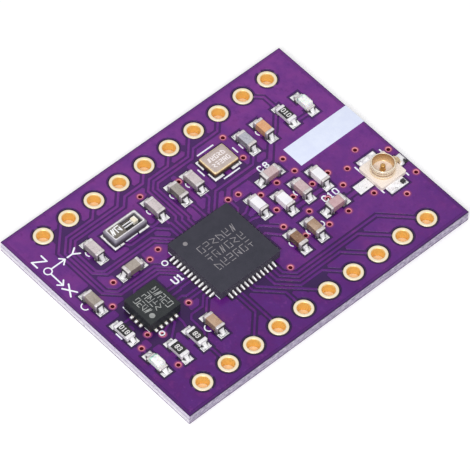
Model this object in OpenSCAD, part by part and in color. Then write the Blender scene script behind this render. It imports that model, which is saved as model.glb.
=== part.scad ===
// Accelerometer module: a purple board with a radio microcontroller, a three-axis sensor and a coax socket.
// Millimetres. X runs across the two header rows, Y along them, and Z up out of the component side.
// The origin is the middle of the underside.

/* [Board] */
// Board width, across the two header rows
board_w = 21.1; // [20:0.1:24]
// Board length, along the header rows
board_l = 28.45; // [28.4:0.05:34]
// Thickness of the finished board
board_t = 1; // [0.6:0.05:1.6]
// Thickness of the copper foil on each side
copper_t = 0.055; // [0.02:0.005:0.07]
// Thickness of the solder mask film
mask_t = 0.03; // [0.02:0.005:0.05]
// Bare rim between the board's edge and the copper pour
pour_rim = 0.3; // [0.2:0.05:0.5]

/* [Header rows] */
// Distance between the two rows of holes
row_spacing = 17.78; // [17.5:0.02:18.2]
// Distance between neighbouring holes of a row
header_pitch = 2.54; // [2.5:0.01:2.6]
// Holes in each row
header_count = 10; // [10:1:11]
// Plated hole
header_hole_d = 1; // [0.8:0.02:1.1]
// Gold ring round each hole
header_pad_d = 1.6; // [1.4:0.05:1.75]
// Wall of the plated barrels
plating_t = 0.035; // [0.02:0.005:0.05]
// How much wider the drill leaves a hole on the component side
drill_draft = 0.01; // [0.005:0.005:0.02]

/* [Tracks] */
// Width of a signal track
track_w = 0.16; // [0.12:0.01:0.2]
// Width of a feed track
feed_w = 0.3; // [0.2:0.02:0.4]
// Distance between neighbouring tracks of a bundle
track_pitch = 0.35; // [0.32:0.01:0.38]
// Gap that the pour keeps from everything else
pour_gap = 0.2; // [0.14:0.01:0.26]
// Narrowest neck of pour that is left standing
pour_neck = 0.3; // [0.16:0.02:0.4]
// Bare ring that the mask leaves round each pad
mask_ring = 0.07; // [0.04:0.01:0.12]
// Overlap of the mask over the edge of each track
mask_lap = 0.02; // [0.01:0.005:0.04]
// Copper ring of a via
via_d = 0.55; // [0.5:0.01:0.6]
// Hole of a via
via_hole_d = 0.3; // [0.2:0.02:0.34]

/* [White ink] */
// Width of a printed line
ink_w = 0.15; // [0.1:0.01:0.2]
// Thickness of the ink
ink_t = 0.015; // [0.01:0.005:0.03]
// Width of the printed block
block_w = 2.05; // [1.5:0.05:2.4]
// Inner end of the printed block, which runs out to the board's edge
block_from = 7.68; // [7.4:0.02:9]

/* [Solder] */
// Solder film between a pad and the part on it
solder_t = 0.05; // [0.035:0.005:0.08]
// Edge of a solder fillet where it runs out on its pad
solder_edge = 0.02; // [0.01:0.005:0.03]

/* [Microcontroller] */
// Side of the square body
soc_w = 6; // [5.8:0.05:6.2]
// Height of the body
soc_h = 0.85; // [0.75:0.05:1]
// Leads on each side
soc_count = 12; // [12:1:13]
// Distance between neighbouring leads
soc_pitch = 0.4; // [0.38:0.01:0.42]
// Width of a lead
soc_lead_w = 0.2; // [0.16:0.01:0.24]
// Length of a lead under the body
soc_lead_l = 0.4; // [0.3:0.02:0.5]
// Thickness of the leads and the thermal pad
soc_lead_t = 0.2; // [0.15:0.01:0.25]
// Length of a solder pad beyond the body
soc_reach = 0.45; // [0.35:0.01:0.5]
// Side of the thermal pad
soc_paddle = 4.4; // [4:0.05:4.6]
// Width of the recess that marks the first lead
soc_mark_d = 0.36; // [0.3:0.02:0.8]
// Distance of its middle from the body's side above
soc_mark_x = 0.86; // [0.6:0.02:1.2]
// Distance of its middle from the body's left side
soc_mark_y = 1.03; // [0.6:0.02:1.2]
// Depth of that recess
soc_mark_t = 0.03; // [0.02:0.01:0.05]

/* [Sensor] */
// Side of the square body
acc_w = 3; // [2.9:0.02:3.1]
// Height of the body
acc_h = 1; // [0.8:0.05:1.1]
// Distance between neighbouring lands
acc_pitch = 0.5; // [0.46:0.01:0.52]
// Width of a land
acc_land_w = 0.26; // [0.2:0.01:0.3]
// Length of a land under the body
acc_land_l = 0.4; // [0.3:0.02:0.5]
// Thickness of a land
acc_land_t = 0.05; // [0.03:0.01:0.08]
// Length of a solder pad beyond the body
acc_reach = 0.26; // [0.2:0.01:0.32]
// Height of the solder against the body
acc_climb = 0.1; // [0.06:0.01:0.2]

/* [Watch crystal] */
// Length of the case
watch_l = 3.2; // [3:0.05:3.3]
// Width of the case
watch_w = 1.5; // [1.4:0.02:1.6]
// Height of the ceramic case
watch_case_h = 0.6; // [0.5:0.02:0.7]
// Height of the sealing frame on it
watch_frame_h = 0.15; // [0.1:0.01:0.2]
// Wall of the case and the frame
watch_wall = 0.22; // [0.18:0.01:0.28]
// Floor of the case
watch_floor = 0.18; // [0.12:0.01:0.25]
// Thickness of the window glass
watch_glass_t = 0.06; // [0.04:0.01:0.1]
// Width of one tine of the tuning fork
fork_tine_w = 0.2; // [0.14:0.01:0.24]
// Slot between the tines
fork_slot = 0.14; // [0.08:0.01:0.2]
// Thickness of the fork
fork_t = 0.1; // [0.06:0.01:0.14]

/* [Main crystal] */
// Length of the case
main_l = 2.5; // [2.4:0.02:2.56]
// Width of the case
main_w = 2; // [1.9:0.02:2.06]
// Height of the ceramic base
main_base_h = 0.3; // [0.2:0.02:0.4]
// Height of the seal ring
main_seal_h = 0.12; // [0.08:0.01:0.2]
// Height of the lid
main_lid_h = 0.12; // [0.08:0.01:0.2]
// Wall of the seal ring
main_wall = 0.2; // [0.15:0.01:0.3]

/* [Antenna socket] */
// Side of the insulating base
ant_base_w = 2.6; // [2.5:0.02:2.7]
// Height of the insulating base
ant_base_h = 0.36; // [0.3:0.02:0.45]
// Outside of the ring contact
ant_ring_d = 2; // [1.9:0.02:2.1]
// Height of the ring contact above the board
ant_ring_h = 1.25; // [1.1:0.05:1.4]
// Wall of the ring contact
ant_ring_t = 0.12; // [0.08:0.01:0.16]
// Depth of the groove that a plug snaps into
ant_groove = 0.06; // [0.03:0.01:0.07]
// Thickness of the contact feet
ant_foot_t = 0.1; // [0.08:0.01:0.14]
// Reach of the contact feet from the middle
ant_foot_reach = 1.75; // [1.6:0.05:1.9]
// Thickness of the centre contact
ant_pin_d = 0.3; // [0.2:0.02:0.4]
// Height of the centre contact above the board
ant_pin_h = 0.95; // [0.8:0.05:1.05]

/* [Chip parts] */
// Length of a chip part
chip_l = 1.6; // [1.5:0.02:1.7]
// Width of a chip part
chip_w = 0.8; // [0.7:0.02:0.88]
// Height of a capacitor
cap_h = 0.7; // [0.5:0.05:0.9]
// Height of an inductor
ind_h = 0.7; // [0.5:0.05:0.9]
// Height of a resistor
res_h = 0.45; // [0.35:0.01:0.6]
// Length of the metal ends of capacitors and inductors
end_l = 0.36; // [0.25:0.01:0.42]
// Length of the metal ends of resistors
res_end_l = 0.3; // [0.2:0.01:0.4]
// Thickness of the metal on the ends
skin = 0.02; // [0.01:0.005:0.03]
// Rounding of the long edges
chip_r = 0.08; // [0.05:0.01:0.12]
// Thickness of the glaze on a resistor
glaze_t = 0.02; // [0.01:0.005:0.03]
// Height of a light's substrate
led_base_h = 0.26; // [0.2:0.02:0.34]
// Height of a light's lens
led_lens_h = 0.34; // [0.25:0.02:0.45]
// Length of a light's lens
led_lens_l = 1.1; // [0.9:0.02:1.2]
// Length of a solder pad
pad_l = 0.8; // [0.7:0.02:0.9]
// Width of a solder pad
pad_w = 0.84; // [0.8:0.02:0.92]
// Length over both solder pads of a chip part
pads_span = 2.52; // [2.4:0.02:2.6]

/* [Hidden] */
// Heights in the layer stack
laminate_top = board_t - mask_t - copper_t;
pad_z = board_t - mask_t;
seat_z = pad_z + solder_t;

// Steps in a quarter turn of a rounded edge, and points round the artwork's circles
arc_steps = 4;
ring_n = 32;
disc_n = 20;
spot_n = 8;

// Places on the board, each [across, along, turn]
soc_at = [1.3, -2.41, 0];
acc_at = [1.6, -9.87, 0];
watch_at = [-5.17, -6.55, 0];
main_at = [-5.33, 3.12, 0];
ant_at = [3.53, 11.88, 0];
CAPACITORS = [
    [-5.31, 5.96, 0], [-5.3, 7.77, 0], [-5.1, 0.39, 0], [-5.1, -1.22, 0], [-5.15, -3.53, 0],
    [-5.22, -9.6, 0], [-2.08, -8.55, 90], [-1.71, -12.78, 0], [5.68, -7.38, 0], [-1.78, 5.18, 90],
    [0.8, 6.05, 0], [3.55, 6.98, 90], [4.13, 4.27, 0], [4.13, 2.52, 0]];
INDUCTORS = [[-0.23, 2.5, 0], [0.82, 4.27, 0], [0.82, 7.85, 0]];
RESISTORS = [[-5.25, 10.03, 0], [1.84, -12.85, 0], [5.68, -10.93, 0], [5.69, -9.14, 0]];
LIGHTS = [[-5.17, 11.93, 0], [5.48, -12.87, 0]];
CHIPS = concat(CAPACITORS, INDUCTORS, RESISTORS, LIGHTS);
VIAS = [
    [-6.85, -3.51], [-2.2, -10.35], [-1.98, -6.88], [-2.28, -5.8], [-5.99, -0.35], [-2.27, 1.31],
    [-2.13, 2.23], [-6.91, 5.01], [-4.47, 4.88], [-2.4, 7.07], [-0.97, 3.47], [-1.03, 5.18],
    [-0.98, 6.97], [0.85, 3.42], [0.77, 5.2], [0.82, 7.13], [0.82, 8.73], [2.37, 2.73], [2.57, 5.19],
    [2.62, 7.07], [2.43, 8.82], [4.07, 3.43], [4.47, 5.5], [4.5, 7.45], [0.59, 11.8], [1.5, 10.13],
    [2.22, 13.75], [4.52, 10.07], [5.18, 13.85], [6.23, 11.9], [-0.58, -11.87], [2.88, -7.38],
    [3.05, -11.63], [3.69, -12.8], [3.78, -10.77], [6.58, -11.75], [5.49, 0.53]];

// Lanes that the track bundles run in: the first of each, and the turn between them
top_lane_0 = -6.93;
left_lane_0 = -10.63;
bottom_lane_0 = 6.18;
crystal_lane_0 = -3.4;
sensor_lane_0 = -1.31;
riser_lane_0 = -2.72;
mitre = track_pitch * tan(22.5);

// Place i of n places in a row, measured from the row's middle
function row_place(i, n, pitch) = (i - (n - 1) / 2) * pitch;
function upper_pad(i) = [-row_spacing / 2, row_place(i, header_count, header_pitch)];
function lower_pad(i) = [row_spacing / 2, row_place(i, header_count, header_pitch)];
HEADERS = [for (i = [0:header_count - 1]) each [upper_pad(i), lower_pad(i)]];

// Outer ends of the microcontroller's solder pads, by side
soc_tip = soc_w / 2 + soc_reach;
function soc_top(k) = [soc_at.x - soc_tip, soc_at.y + row_place(k, soc_count, soc_pitch)];
function soc_bottom(k) = [soc_at.x + soc_tip, soc_at.y + row_place(k, soc_count, soc_pitch)];
function soc_left(k) = [soc_at.x + row_place(k, soc_count, soc_pitch), soc_at.y - soc_tip];
function soc_right(k) = [soc_at.x + row_place(k, soc_count, soc_pitch), soc_at.y + soc_tip];

// Outer ends of the sensor's solder pads, by side
acc_tip = acc_w / 2 + acc_reach;
function acc_top(k) = [acc_at.x - acc_tip, acc_at.y + row_place(k, 5, acc_pitch)];
function acc_bottom(k) = [acc_at.x + acc_tip, acc_at.y + row_place(k, 5, acc_pitch)];
function acc_left(k) = [acc_at.x + row_place(k, 3, acc_pitch), acc_at.y - acc_tip];
function acc_right(k) = [acc_at.x + row_place(k, 3, acc_pitch), acc_at.y + acc_tip];

// Middle of a chip part's solder pad: side -1 or 1 along the part
function chip_pad(p, side) = [p.x, p.y] + side * (pads_span - pad_l) / 2 * [cos(p.z), sin(p.z)];

// Lane n of a bundle
function top_lane(n) = top_lane_0 - n * track_pitch;
function left_lane(n) = left_lane_0 - n * track_pitch;
function bottom_lane(n) = bottom_lane_0 + n * track_pitch;
function crystal_lane(n) = crystal_lane_0 + n * track_pitch;
function sensor_lane(n) = sensor_lane_0 + n * track_pitch;
function riser_lane(n) = riser_lane_0 + n * track_pitch;

// Where a 45 degree run from p meets the lane x = lane, towards side -1 or 1 of Y
function meet(p, lane, side) = [lane, p.y + side * abs(p.x - lane)];

// From the head of a track down the left bundle, back along an inner lane, and up to a pin
function wrap(head, lane, turn_x, inner, pin) =
    let (from = head[len(head) - 1])
    concat(head, [
        [from.x + abs(from.y - lane), lane], [turn_x, lane], [inner, lane + inner - turn_x],
        meet(pin, inner, -1), pin]);

// From the head of a track down riser n and across to a pin
function riser(head, n, pin) =
    let (from = head[len(head) - 1], y = riser_lane(n), shift = abs(y - pin.y), drop = 1.25 - 0.28 * n)
    concat(head, [[from.x + from.y - y, y], [pin.x - drop - shift, y], [pin.x - drop, pin.y], pin]);

// From a pin of the microcontroller along a bottom lane to a header pad
function fan(k, bend_x, n, i) =
    let (pin = soc_bottom(k), lane = bottom_lane(n), pad = lower_pad(i))
    [pin, [bend_x, pin.y], [lane, pin.y + lane - bend_x], meet(pad, lane, -1), pad];

// Places of the watch crystal's and the main crystal's solder pads
watch_pad_l = 0.98;
function watch_pad(side) = [watch_at.x, watch_at.y + side * (watch_l / 2 + 0.12 - watch_pad_l / 2)];
watch_pad_w = watch_w + 0.25;
main_pad_l = 0.93;
main_pad_w = 0.92;
main_pads = [main_l + 0.2, main_w + 0.35];
function main_pad(i, j) = [main_at.x + i * (main_pads.y - main_pad_w) / 2,
    main_at.y + j * (main_pads.x - main_pad_l) / 2];

// The socket's solder pads about its middle: across on both sides, the signal pad and the tab pad
ant_pad_x = 1.55;
ant_pads = [
    [[-ant_pad_x, 0], [0.9, 1.76]], [[ant_pad_x, 0], [0.9, 1.76]],
    [[0, -1.98], [0.94, 1.4]], [[0, 1.84], [1, 0.86]]];

// Tracks by the microcontroller's side that they serve: 0 above, 1 left, 2 below, 3 right
TRACKS = [[
    // the outer bundle on the left, and the risers
    wrap([upper_pad(3), meet(upper_pad(3), top_lane(1), -1), [top_lane(1), -9.95 - mitre]],
        left_lane(1), -3.85, crystal_lane(1), soc_top(0)),
    wrap([upper_pad(4), meet(upper_pad(4), top_lane(2), -1), [top_lane(2), -4.38],
        [top_lane(0), -4.38 - 2 * track_pitch], [top_lane(0), -9.95]],
        left_lane(0), -3.85, crystal_lane(0), soc_top(1)),
    riser([upper_pad(5), meet(upper_pad(5), top_lane(2), -1), [top_lane(2), -1.9]], 0, soc_top(4)),
    riser([upper_pad(6), upper_pad(6) + [0.19, -0.63], meet(upper_pad(6) + [0.19, -0.63], top_lane(1), -1),
        [top_lane(1), -1.9 + mitre]], 1, soc_top(5)),
    riser([upper_pad(7), meet(upper_pad(7), top_lane(2), -1), [top_lane(2), 2.61],
        [top_lane(0), 2.61 - 2 * track_pitch], [top_lane(0), -1.9 + 2 * mitre]], 2, soc_top(6)),
    [upper_pad(8), [-7.75, chip_pad(RESISTORS[0], -1).y], chip_pad(RESISTORS[0], -1)],
    // the two crystals and their capacitors
    [watch_pad(-1), watch_pad(-1) + [1.12, 0.6], [-3.88, -7], [-3.88, soc_top(2).y - 0.79],
        [-3.09, soc_top(2).y], soc_top(2)],
    [watch_pad(1), watch_pad(1) + [1.05, 0.6], [-4.12, -4.3], chip_pad(CAPACITORS[4], 1)],
    [chip_pad(CAPACITORS[4], 1), [-3.6, -3.53], [-3.48, soc_top(3).y], soc_top(3)],
    [soc_top(9), [-3.5, soc_top(9).y], chip_pad(CAPACITORS[3], 1)],
    [soc_top(10), [-2.35, soc_top(10).y], [-3.35, chip_pad(CAPACITORS[2], 1).y], chip_pad(CAPACITORS[2], 1)],
    [soc_top(11), meet(soc_top(11), -3.5, 1), [-3.5, 5], [-4.05, 5.55], chip_pad(CAPACITORS[0], 1)],
    [chip_pad(CAPACITORS[1], 1), [-4.7, 8.4], [-6, 9.7], chip_pad(RESISTORS[0], -1)],
    [chip_pad(RESISTORS[0], 1), chip_pad(LIGHTS[0], 1)]
], [
    // the inner bundle on the left
    wrap([upper_pad(1), upper_pad(1) - [0, 0.77]], left_lane(3), -2, sensor_lane(1), soc_left(3)),
    wrap([upper_pad(2), meet(upper_pad(2), top_lane(2), -1), [top_lane(2), -9.95 - 2 * mitre]],
        left_lane(2), -2, sensor_lane(0), soc_left(2)),
    // the sensor
    [acc_top(2), [-0.4, acc_top(2).y], [sensor_lane(2), acc_top(2).y + 0.21],
        meet(soc_left(4), sensor_lane(2), -1), soc_left(4)],
    [acc_right(0), soc_left(5)],
    [acc_right(1), [acc_right(1).x, -7], soc_left(6) - [0, 1.04], soc_left(6)],
    [acc_right(2), [acc_right(2).x, -7.3], soc_left(8) - [0, 1.24], soc_left(8)],
    [VIAS[31], soc_left(9) - [0, 1.3], soc_left(9)],
    [soc_left(10), soc_left(10) - [0, 0.24], [3.82, -6.82], [3.82, -7.95], [4.12, -8.25], [5.6, -8.25],
        [6.2, -8.85], chip_pad(RESISTORS[3], 1)],
    [soc_left(11), soc_left(11) - [0, 0.24], [4.4, -7], chip_pad(CAPACITORS[8], -1)],
    [acc_bottom(3), acc_bottom(3) + [0.2, 0], [4.4, -10.44], chip_pad(RESISTORS[2], -1)],
    [acc_bottom(4), [3.9, acc_bottom(4).y], chip_pad(RESISTORS[3], -1)],
    [acc_bottom(2), VIAS[34]],
    [acc_left(0), [acc_left(0).x, -12.3], chip_pad(RESISTORS[1], -1)],
    [chip_pad(RESISTORS[3], 1), [7.2, lower_pad(1).y], lower_pad(1)],
    [VIAS[33], chip_pad(LIGHTS[1], -1)]
], [
    // the fan
    fan(8, 5.8, 3, 6), fan(9, 5.6, 2, 7), fan(10, 5.5, 1, 8), fan(11, 5.4, 0, 9),
    [soc_bottom(5), [5.08, soc_bottom(5).y], lower_pad(5) - [0.6, 0.6], lower_pad(5)],
    [soc_bottom(4), [5.2, soc_bottom(4).y], [5.2 + lower_pad(4).y - soc_bottom(4).y, lower_pad(4).y],
        lower_pad(4)],
    [soc_bottom(2), [6.5, soc_bottom(2).y], lower_pad(3)],
    [soc_bottom(1), [lower_pad(2).x + lower_pad(2).y - soc_bottom(1).y, soc_bottom(1).y], lower_pad(2)]
], [
    // the radio side
    [soc_right(0), [-1.17, VIAS[5].y], VIAS[5]],
    [soc_right(1), [soc_right(1).x, 1.45], chip_pad(INDUCTORS[0], -1)],
    [soc_right(3), [soc_right(3).x, 1.45], chip_pad(INDUCTORS[0], 1)],
    [soc_right(5), [soc_right(5).x, 1.46], VIAS[17]],
    [soc_right(7), [soc_right(7).x, 1.3], chip_pad(CAPACITORS[13], -1)]
]];
FEEDS = [
    [], [], [],
    [[VIAS[5], [-2.98, 2.02], [-2.98, 6.3], [-4.1, 7.42], chip_pad(CAPACITORS[1], 1)],
        [chip_pad(CAPACITORS[11], 1), ant_at + [0, -2.2, 0]],
        [chip_pad(INDUCTORS[1], 1), chip_pad(CAPACITORS[10], 1), chip_pad(INDUCTORS[2], 1)]]];

// Patches that carry no pour, each [low corner, high corner]
BARE = [
    [[-0.5, -12], [4.25, -7.7]], [[7.5, -0.1], [8.1, 2.1]], [[-8.5, -10.2], [-7.95, -9.6]],
    [[4.8, -2.5], [5.5, -1.5]], [[-8.3, 1.9], [-7.75, 2.9]]];

// Printed outlines round the parts, each [from, to]
INK_LINES = [
    [[-4.46, -7.07], [-4.46, -6]],
    [[-6.87, 2.37], [-6.87, 3.93]], [[-3.91, 2.43], [-3.91, 3.97]],
    [[-5.83, 1.47], [-5.13, 1.47]], [[-5.68, 4.9], [-5.13, 4.9]], [[-5.6, 5.46], [-5.15, 5.46]],
    [[-1.51, -5.38], [-1.2, -5.38]], [[3.72, -5.38], [4.17, -5.38]],
    [[0.03, -11.33], [0.73, -11.33]], [[2.47, -11.33], [2.97, -11.33]],
    [[1.83, 10.63], [2.8, 10.63]], [[4.26, 10.63], [5.03, 10.63]], [[1.83, 13.2], [5.03, 13.2]],
    // the axis arrows
    [[-6.15, -13], [-6.15, -11.7]], [[-6.5, -11.97], [-6.15, -11.66]], [[-5.83, -12.06], [-6.15, -11.66]],
    [[-5.8, -13.35], [-4.5, -13.35]], [[-4.75, -13.68], [-4.43, -13.35]], [[-4.78, -13.02], [-4.43, -13.35]]];

// Printed circles, each [middle, radius of the line]
INK_RINGS = [[[-6.15, -13.35], 0.34], [[-0.97, -6.29], 0.24], [[3.67, -10.75], 0.2]];

// Printed arcs, each [middle, radius of the line, angle from, angle to]
INK_ARCS = concat(
    [for (i = [1, 2, 3, 4, 5, 10, 12, 13])
        [[CAPACITORS[i].x - 0.16, CAPACITORS[i].y - 0.26], 0.33, 222, 318]],
    [[[CAPACITORS[7].x - 0.18, CAPACITORS[7].y - 0.6], 0.33, 180, 360],
        [[CAPACITORS[8].x - 0.1, CAPACITORS[8].y - 0.43], 0.32, 190, 350],
        [[CAPACITORS[12].x - 0.08, CAPACITORS[12].y + 0.73], 0.27, -40, 140]]);

// Points of a curved line about the origin
function turn_to(r, a) = [r * cos(a), r * sin(a)];
function swept(r, a, b) = [for (i = [0:ring_n / 2]) turn_to(r, a + (b - a) * 2 * i / ring_n)];
function arc_band(r, w, a, b) = concat(swept(r + w / 2, a, b), backwards(swept(r - w / 2, a, b)));

// Points of a rounded outline, w wide about the middle and h high, standing on its base line
function rounded(w, h, r) = [
    for (c = [[w / 2 - r, r, -90], [w / 2 - r, h - r, 0], [r - w / 2, h - r, 90], [r - w / 2, r, 180]])
        for (i = [0:arc_steps])
            let (a = c.z + i * 90 / arc_steps) [c.x + r * cos(a), c.y + r * sin(a)]];

// Points of a solder joint seen from the side: a film under the lead and a hollow fillet beyond it
function joint_outline(under, reach, film, climb) = concat(
    [[-under, 0], [reach, 0]],
    [for (i = [0:arc_steps])
        let (a = i * 90 / arc_steps)
        [reach * (1 - sin(a)), solder_edge + (film + climb - solder_edge) * (1 - cos(a))]],
    [[0, film], [-under, film]]);

// An outline drawn in Y and Z, run along X from the origin
module along_x(l, outline) {
    rotate([90, 0, 90]) linear_extrude(l) polygon(outline);
}

// An outline drawn in X and Z, run along Y about the middle
module along_y(l, outline) {
    translate([0, l / 2, 0]) rotate([90, 0, 0]) linear_extrude(l) polygon(outline);
}

// A rounded plate about the middle, standing on its base
module plate(l, w, h, r) {
    linear_extrude(h) translate([0, -w / 2]) polygon(rounded(l, w, r));
}

// Children stand on the solder at a place
module seated(p) {
    translate([p.x, p.y, seat_z]) rotate(p.z) children();
}

// Children point away from the middle of a square package, once for each lead k of n on each listed side
module round_package(p, sides, n, pitch) {
    for (turn = sides)
        for (k = [0:n - 1])
            translate([p.x, p.y]) rotate(turn) translate([0, row_place(k, n, pitch)]) children();
}

// Outline of a flat line through a list of points, with mitred bends and square ends
function unit(v) = v / norm(v);
function left_of(v) = [-v.y, v.x];
function flat(p) = [for (q = p) [q.x, q.y]];
function steps(p) = [for (i = [0:len(p) - 1]) if (i == 0 || norm(p[i] - p[max(i - 1, 0)]) > 0.05) p[i]];
function bend(a, b) = (left_of(a) + left_of(b)) / (1 + a * b);
function ribbon_side(p, w) =
    let (n = len(p) - 1, d = [for (i = [0:n - 1]) unit(p[i + 1] - p[i])])
    concat([p[0] + (left_of(d[0]) - d[0]) * w / 2],
        [for (i = [1:1:n - 1]) p[i] + bend(d[i - 1], d[i]) * w / 2],
        [p[n] + (left_of(d[n - 1]) + d[n - 1]) * w / 2]);
function backwards(p) = [for (i = [len(p) - 1:-1:0]) p[i]];
function ribbon(points, w) =
    let (p = steps(flat(points)))
    concat(ribbon_side(p, w), ribbon_side(backwards(p), w));

// Flat discs at the header holes and at the vias, drawn just outside the true circle
module header_discs(r) {
    for (p = HEADERS) translate(p) circle(r = r / cos(180 / disc_n), $fn = disc_n);
}

module via_discs(r) {
    for (p = VIAS) translate(p) circle(r = r / cos(180 / spot_n), $fn = spot_n);
}

// Flat outline of all solder pads, grown by more all round
module parts_pads(more) {
    for (p = CHIPS)
        for (end = [-1, 1])
            translate(chip_pad(p, end)) rotate(p.z)
                square([pad_l + 2 * more, pad_w + 2 * more], center = true);
    round_package(soc_at, [0, 90, 180, 270], soc_count, soc_pitch)
        translate([soc_w / 2 - soc_lead_l - more, -soc_lead_w / 2 - more])
            square([soc_lead_l + soc_reach + 2 * more, soc_lead_w + 2 * more]);
    translate(soc_at) square(soc_paddle + 2 * more, center = true);
    round_package(acc_at, [90, 270], 3, acc_pitch) sensor_pad(more);
    round_package(acc_at, [0, 180], 5, acc_pitch) sensor_pad(more);
    for (side = [-1, 1]) {
        translate(watch_pad(side)) square([watch_pad_w + 2 * more, watch_pad_l + 2 * more], center = true);
        for (end = [-1, 1])
            translate(main_pad(side, end))
                square([main_pad_w + 2 * more, main_pad_l + 2 * more], center = true);
    }
    for (p = ant_pads)
        translate([ant_at.x + p[0].x, ant_at.y + p[0].y])
            square([p[1].x + 2 * more, p[1].y + 2 * more], center = true);
}

// Strips along the leads where the mask leaves the laminate bare between the pads
module lead_windows() {
    for (turn = [0, 90, 180, 270]) {
        translate([soc_at.x, soc_at.y]) rotate(turn)
            window(soc_w / 2, soc_reach, (soc_count - 1) * soc_pitch + soc_lead_w);
        translate([acc_at.x, acc_at.y]) rotate(turn)
            window(acc_w / 2, acc_reach, (turn % 180 == 0 ? 4 : 2) * acc_pitch + acc_land_w);
    }
}

module window(from, reach, run) {
    translate([from - 0.1, -run / 2 - mask_ring / 2]) square([reach + 0.1 + mask_ring / 2, run + mask_ring]);
}

module sensor_pad(more) {
    translate([acc_w / 2 - acc_land_l - more, -acc_land_w / 2 - more])
        square([acc_land_l + acc_reach + 2 * more, acc_land_w + 2 * more]);
}

// Flat outline of all tracks, grown by more all round
module tracks(more) {
    for (s = [0:3]) {
        for (t = TRACKS[s]) polygon(ribbon(t, track_w + 2 * more));
        for (t = FEEDS[s]) polygon(ribbon(t, feed_w + 2 * more));
    }
}

// Flat outline of the ground pour: what the tracks and pads leave, less its narrow necks, and its spokes
module pour() {
    offset(delta = pour_neck / 2, chamfer = true) offset(delta = -pour_neck / 2) difference() {
        square([board_w - 2 * pour_rim, board_l - 2 * pour_rim], center = true);
        tracks(pour_gap);
        parts_pads(pour_gap);
        header_discs(header_pad_d / 2 + pour_gap);
        for (b = BARE) translate(b[0]) square(b[1] - b[0]);
    }
    for (p = [upper_pad(0), upper_pad(header_count - 1), lower_pad(0)])
        for (turn = [0, 90])
            translate(p) rotate(turn) square([header_pad_d + 3 * pour_gap, feed_w], center = true);
}

// A post of radius r through the board at each header hole, and at each via
module header_posts(r) {
    for (p = HEADERS) translate([p.x, p.y, -1]) cylinder(r = r, h = board_t + 2, $fn = ring_n);
}

module via_posts(r) {
    for (p = VIAS) translate([p.x, p.y, -1]) cylinder(r = r, h = board_t + 2, $fn = ring_n);
}

// Outside radius of a barrel of inner width hole_d at height z: the wall that the drill left
function drill_r(hole_d, z) =
    hole_d / 2 + plating_t + drill_draft * (z - mask_t - copper_t) / (laminate_top - mask_t - copper_t);

// The drilled hole, longer than the laminate at both ends
module drill(hole_d) {
    translate([0, 0, -board_t]) cylinder(r1 = drill_r(hole_d, -board_t), r2 = drill_r(hole_d, 2 * board_t),
        h = 3 * board_t, $fn = ring_n);
}

module board_laminate() {
    color([0.72, 0.68, 0.8]) difference() {
        translate([0, 0, mask_t + copper_t])
            linear_extrude(laminate_top - mask_t - copper_t) square([board_w, board_l], center = true);
        for (p = HEADERS) translate(p) drill(header_hole_d);
        for (p = VIAS) translate(p) drill(via_hole_d);
    }
}

module copper_top() {
    color([0.93, 0.74, 0.42]) difference() {
        translate([0, 0, laminate_top]) {
            linear_extrude(copper_t) pour();
            linear_extrude(copper_t) tracks(0);
            linear_extrude(copper_t) parts_pads(0);
        }
        header_posts(header_pad_d / 2);
        via_posts(via_d / 2);
    }
}

module copper_bottom() {
    color([0.93, 0.74, 0.42]) difference() {
        translate([0, 0, mask_t])
            linear_extrude(copper_t) square([board_w - 2 * pour_rim, board_l - 2 * pour_rim], center = true);
        header_posts(header_pad_d / 2 + pour_gap);
        via_posts(via_d / 2);
    }
}

// Mask between the tracks, down on the laminate
module mask_valleys() {
    difference() {
        translate([0, 0, laminate_top]) linear_extrude(copper_t) offset(delta = 0) difference() {
            square([board_w, board_l], center = true);
            pour();
        }
        linear_extrude(board_t + 1) tracks(0);
        linear_extrude(board_t + 1) parts_pads(mask_ring / 2);
        linear_extrude(board_t + 1) lead_windows();
        header_posts(header_pad_d / 2 + mask_ring);
        via_posts(via_d / 2);
    }
}

// Mask over the copper, lapping a little past its edges
module mask_ridges() {
    difference() {
        translate([0, 0, pad_z]) {
            linear_extrude(mask_t) offset(delta = mask_lap) pour();
            linear_extrude(mask_t) tracks(mask_lap);
        }
        linear_extrude(board_t + 1) parts_pads(mask_ring / 2);
        linear_extrude(board_t + 1) lead_windows();
        header_posts(header_pad_d / 2 + mask_ring);
        via_posts(via_d / 2 - mask_lap);
    }
}

module solder_mask_top() {
    color([0.42, 0.2, 0.5]) {
        mask_valleys();
        mask_ridges();
    }
}

module solder_mask_bottom() {
    color([0.42, 0.2, 0.5]) difference() {
        linear_extrude(mask_t) square([board_w, board_l], center = true);
        header_posts(header_pad_d / 2 + mask_ring);
        via_posts(via_d / 2 - mask_lap);
    }
}

// A plated hole: two rings joined by a barrel
module plated_hole(hole_d, ring_d) {
    rotate_extrude($fn = ring_n) polygon([
        [hole_d / 2, mask_t], [ring_d / 2, mask_t], [ring_d / 2, mask_t + copper_t],
        [drill_r(hole_d, mask_t + copper_t), mask_t + copper_t],
        [drill_r(hole_d, laminate_top), laminate_top],
        [ring_d / 2, laminate_top], [ring_d / 2, pad_z], [hole_d / 2, pad_z]]);
}

module header_pads() {
    color([0.95, 0.78, 0.45]) for (p = HEADERS) translate(p) plated_hole(header_hole_d, header_pad_d);
}

module via_barrels() {
    color([0.85, 0.45, 0.45]) for (p = VIAS) translate(p) plated_hole(via_hole_d, via_d);
}

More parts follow.
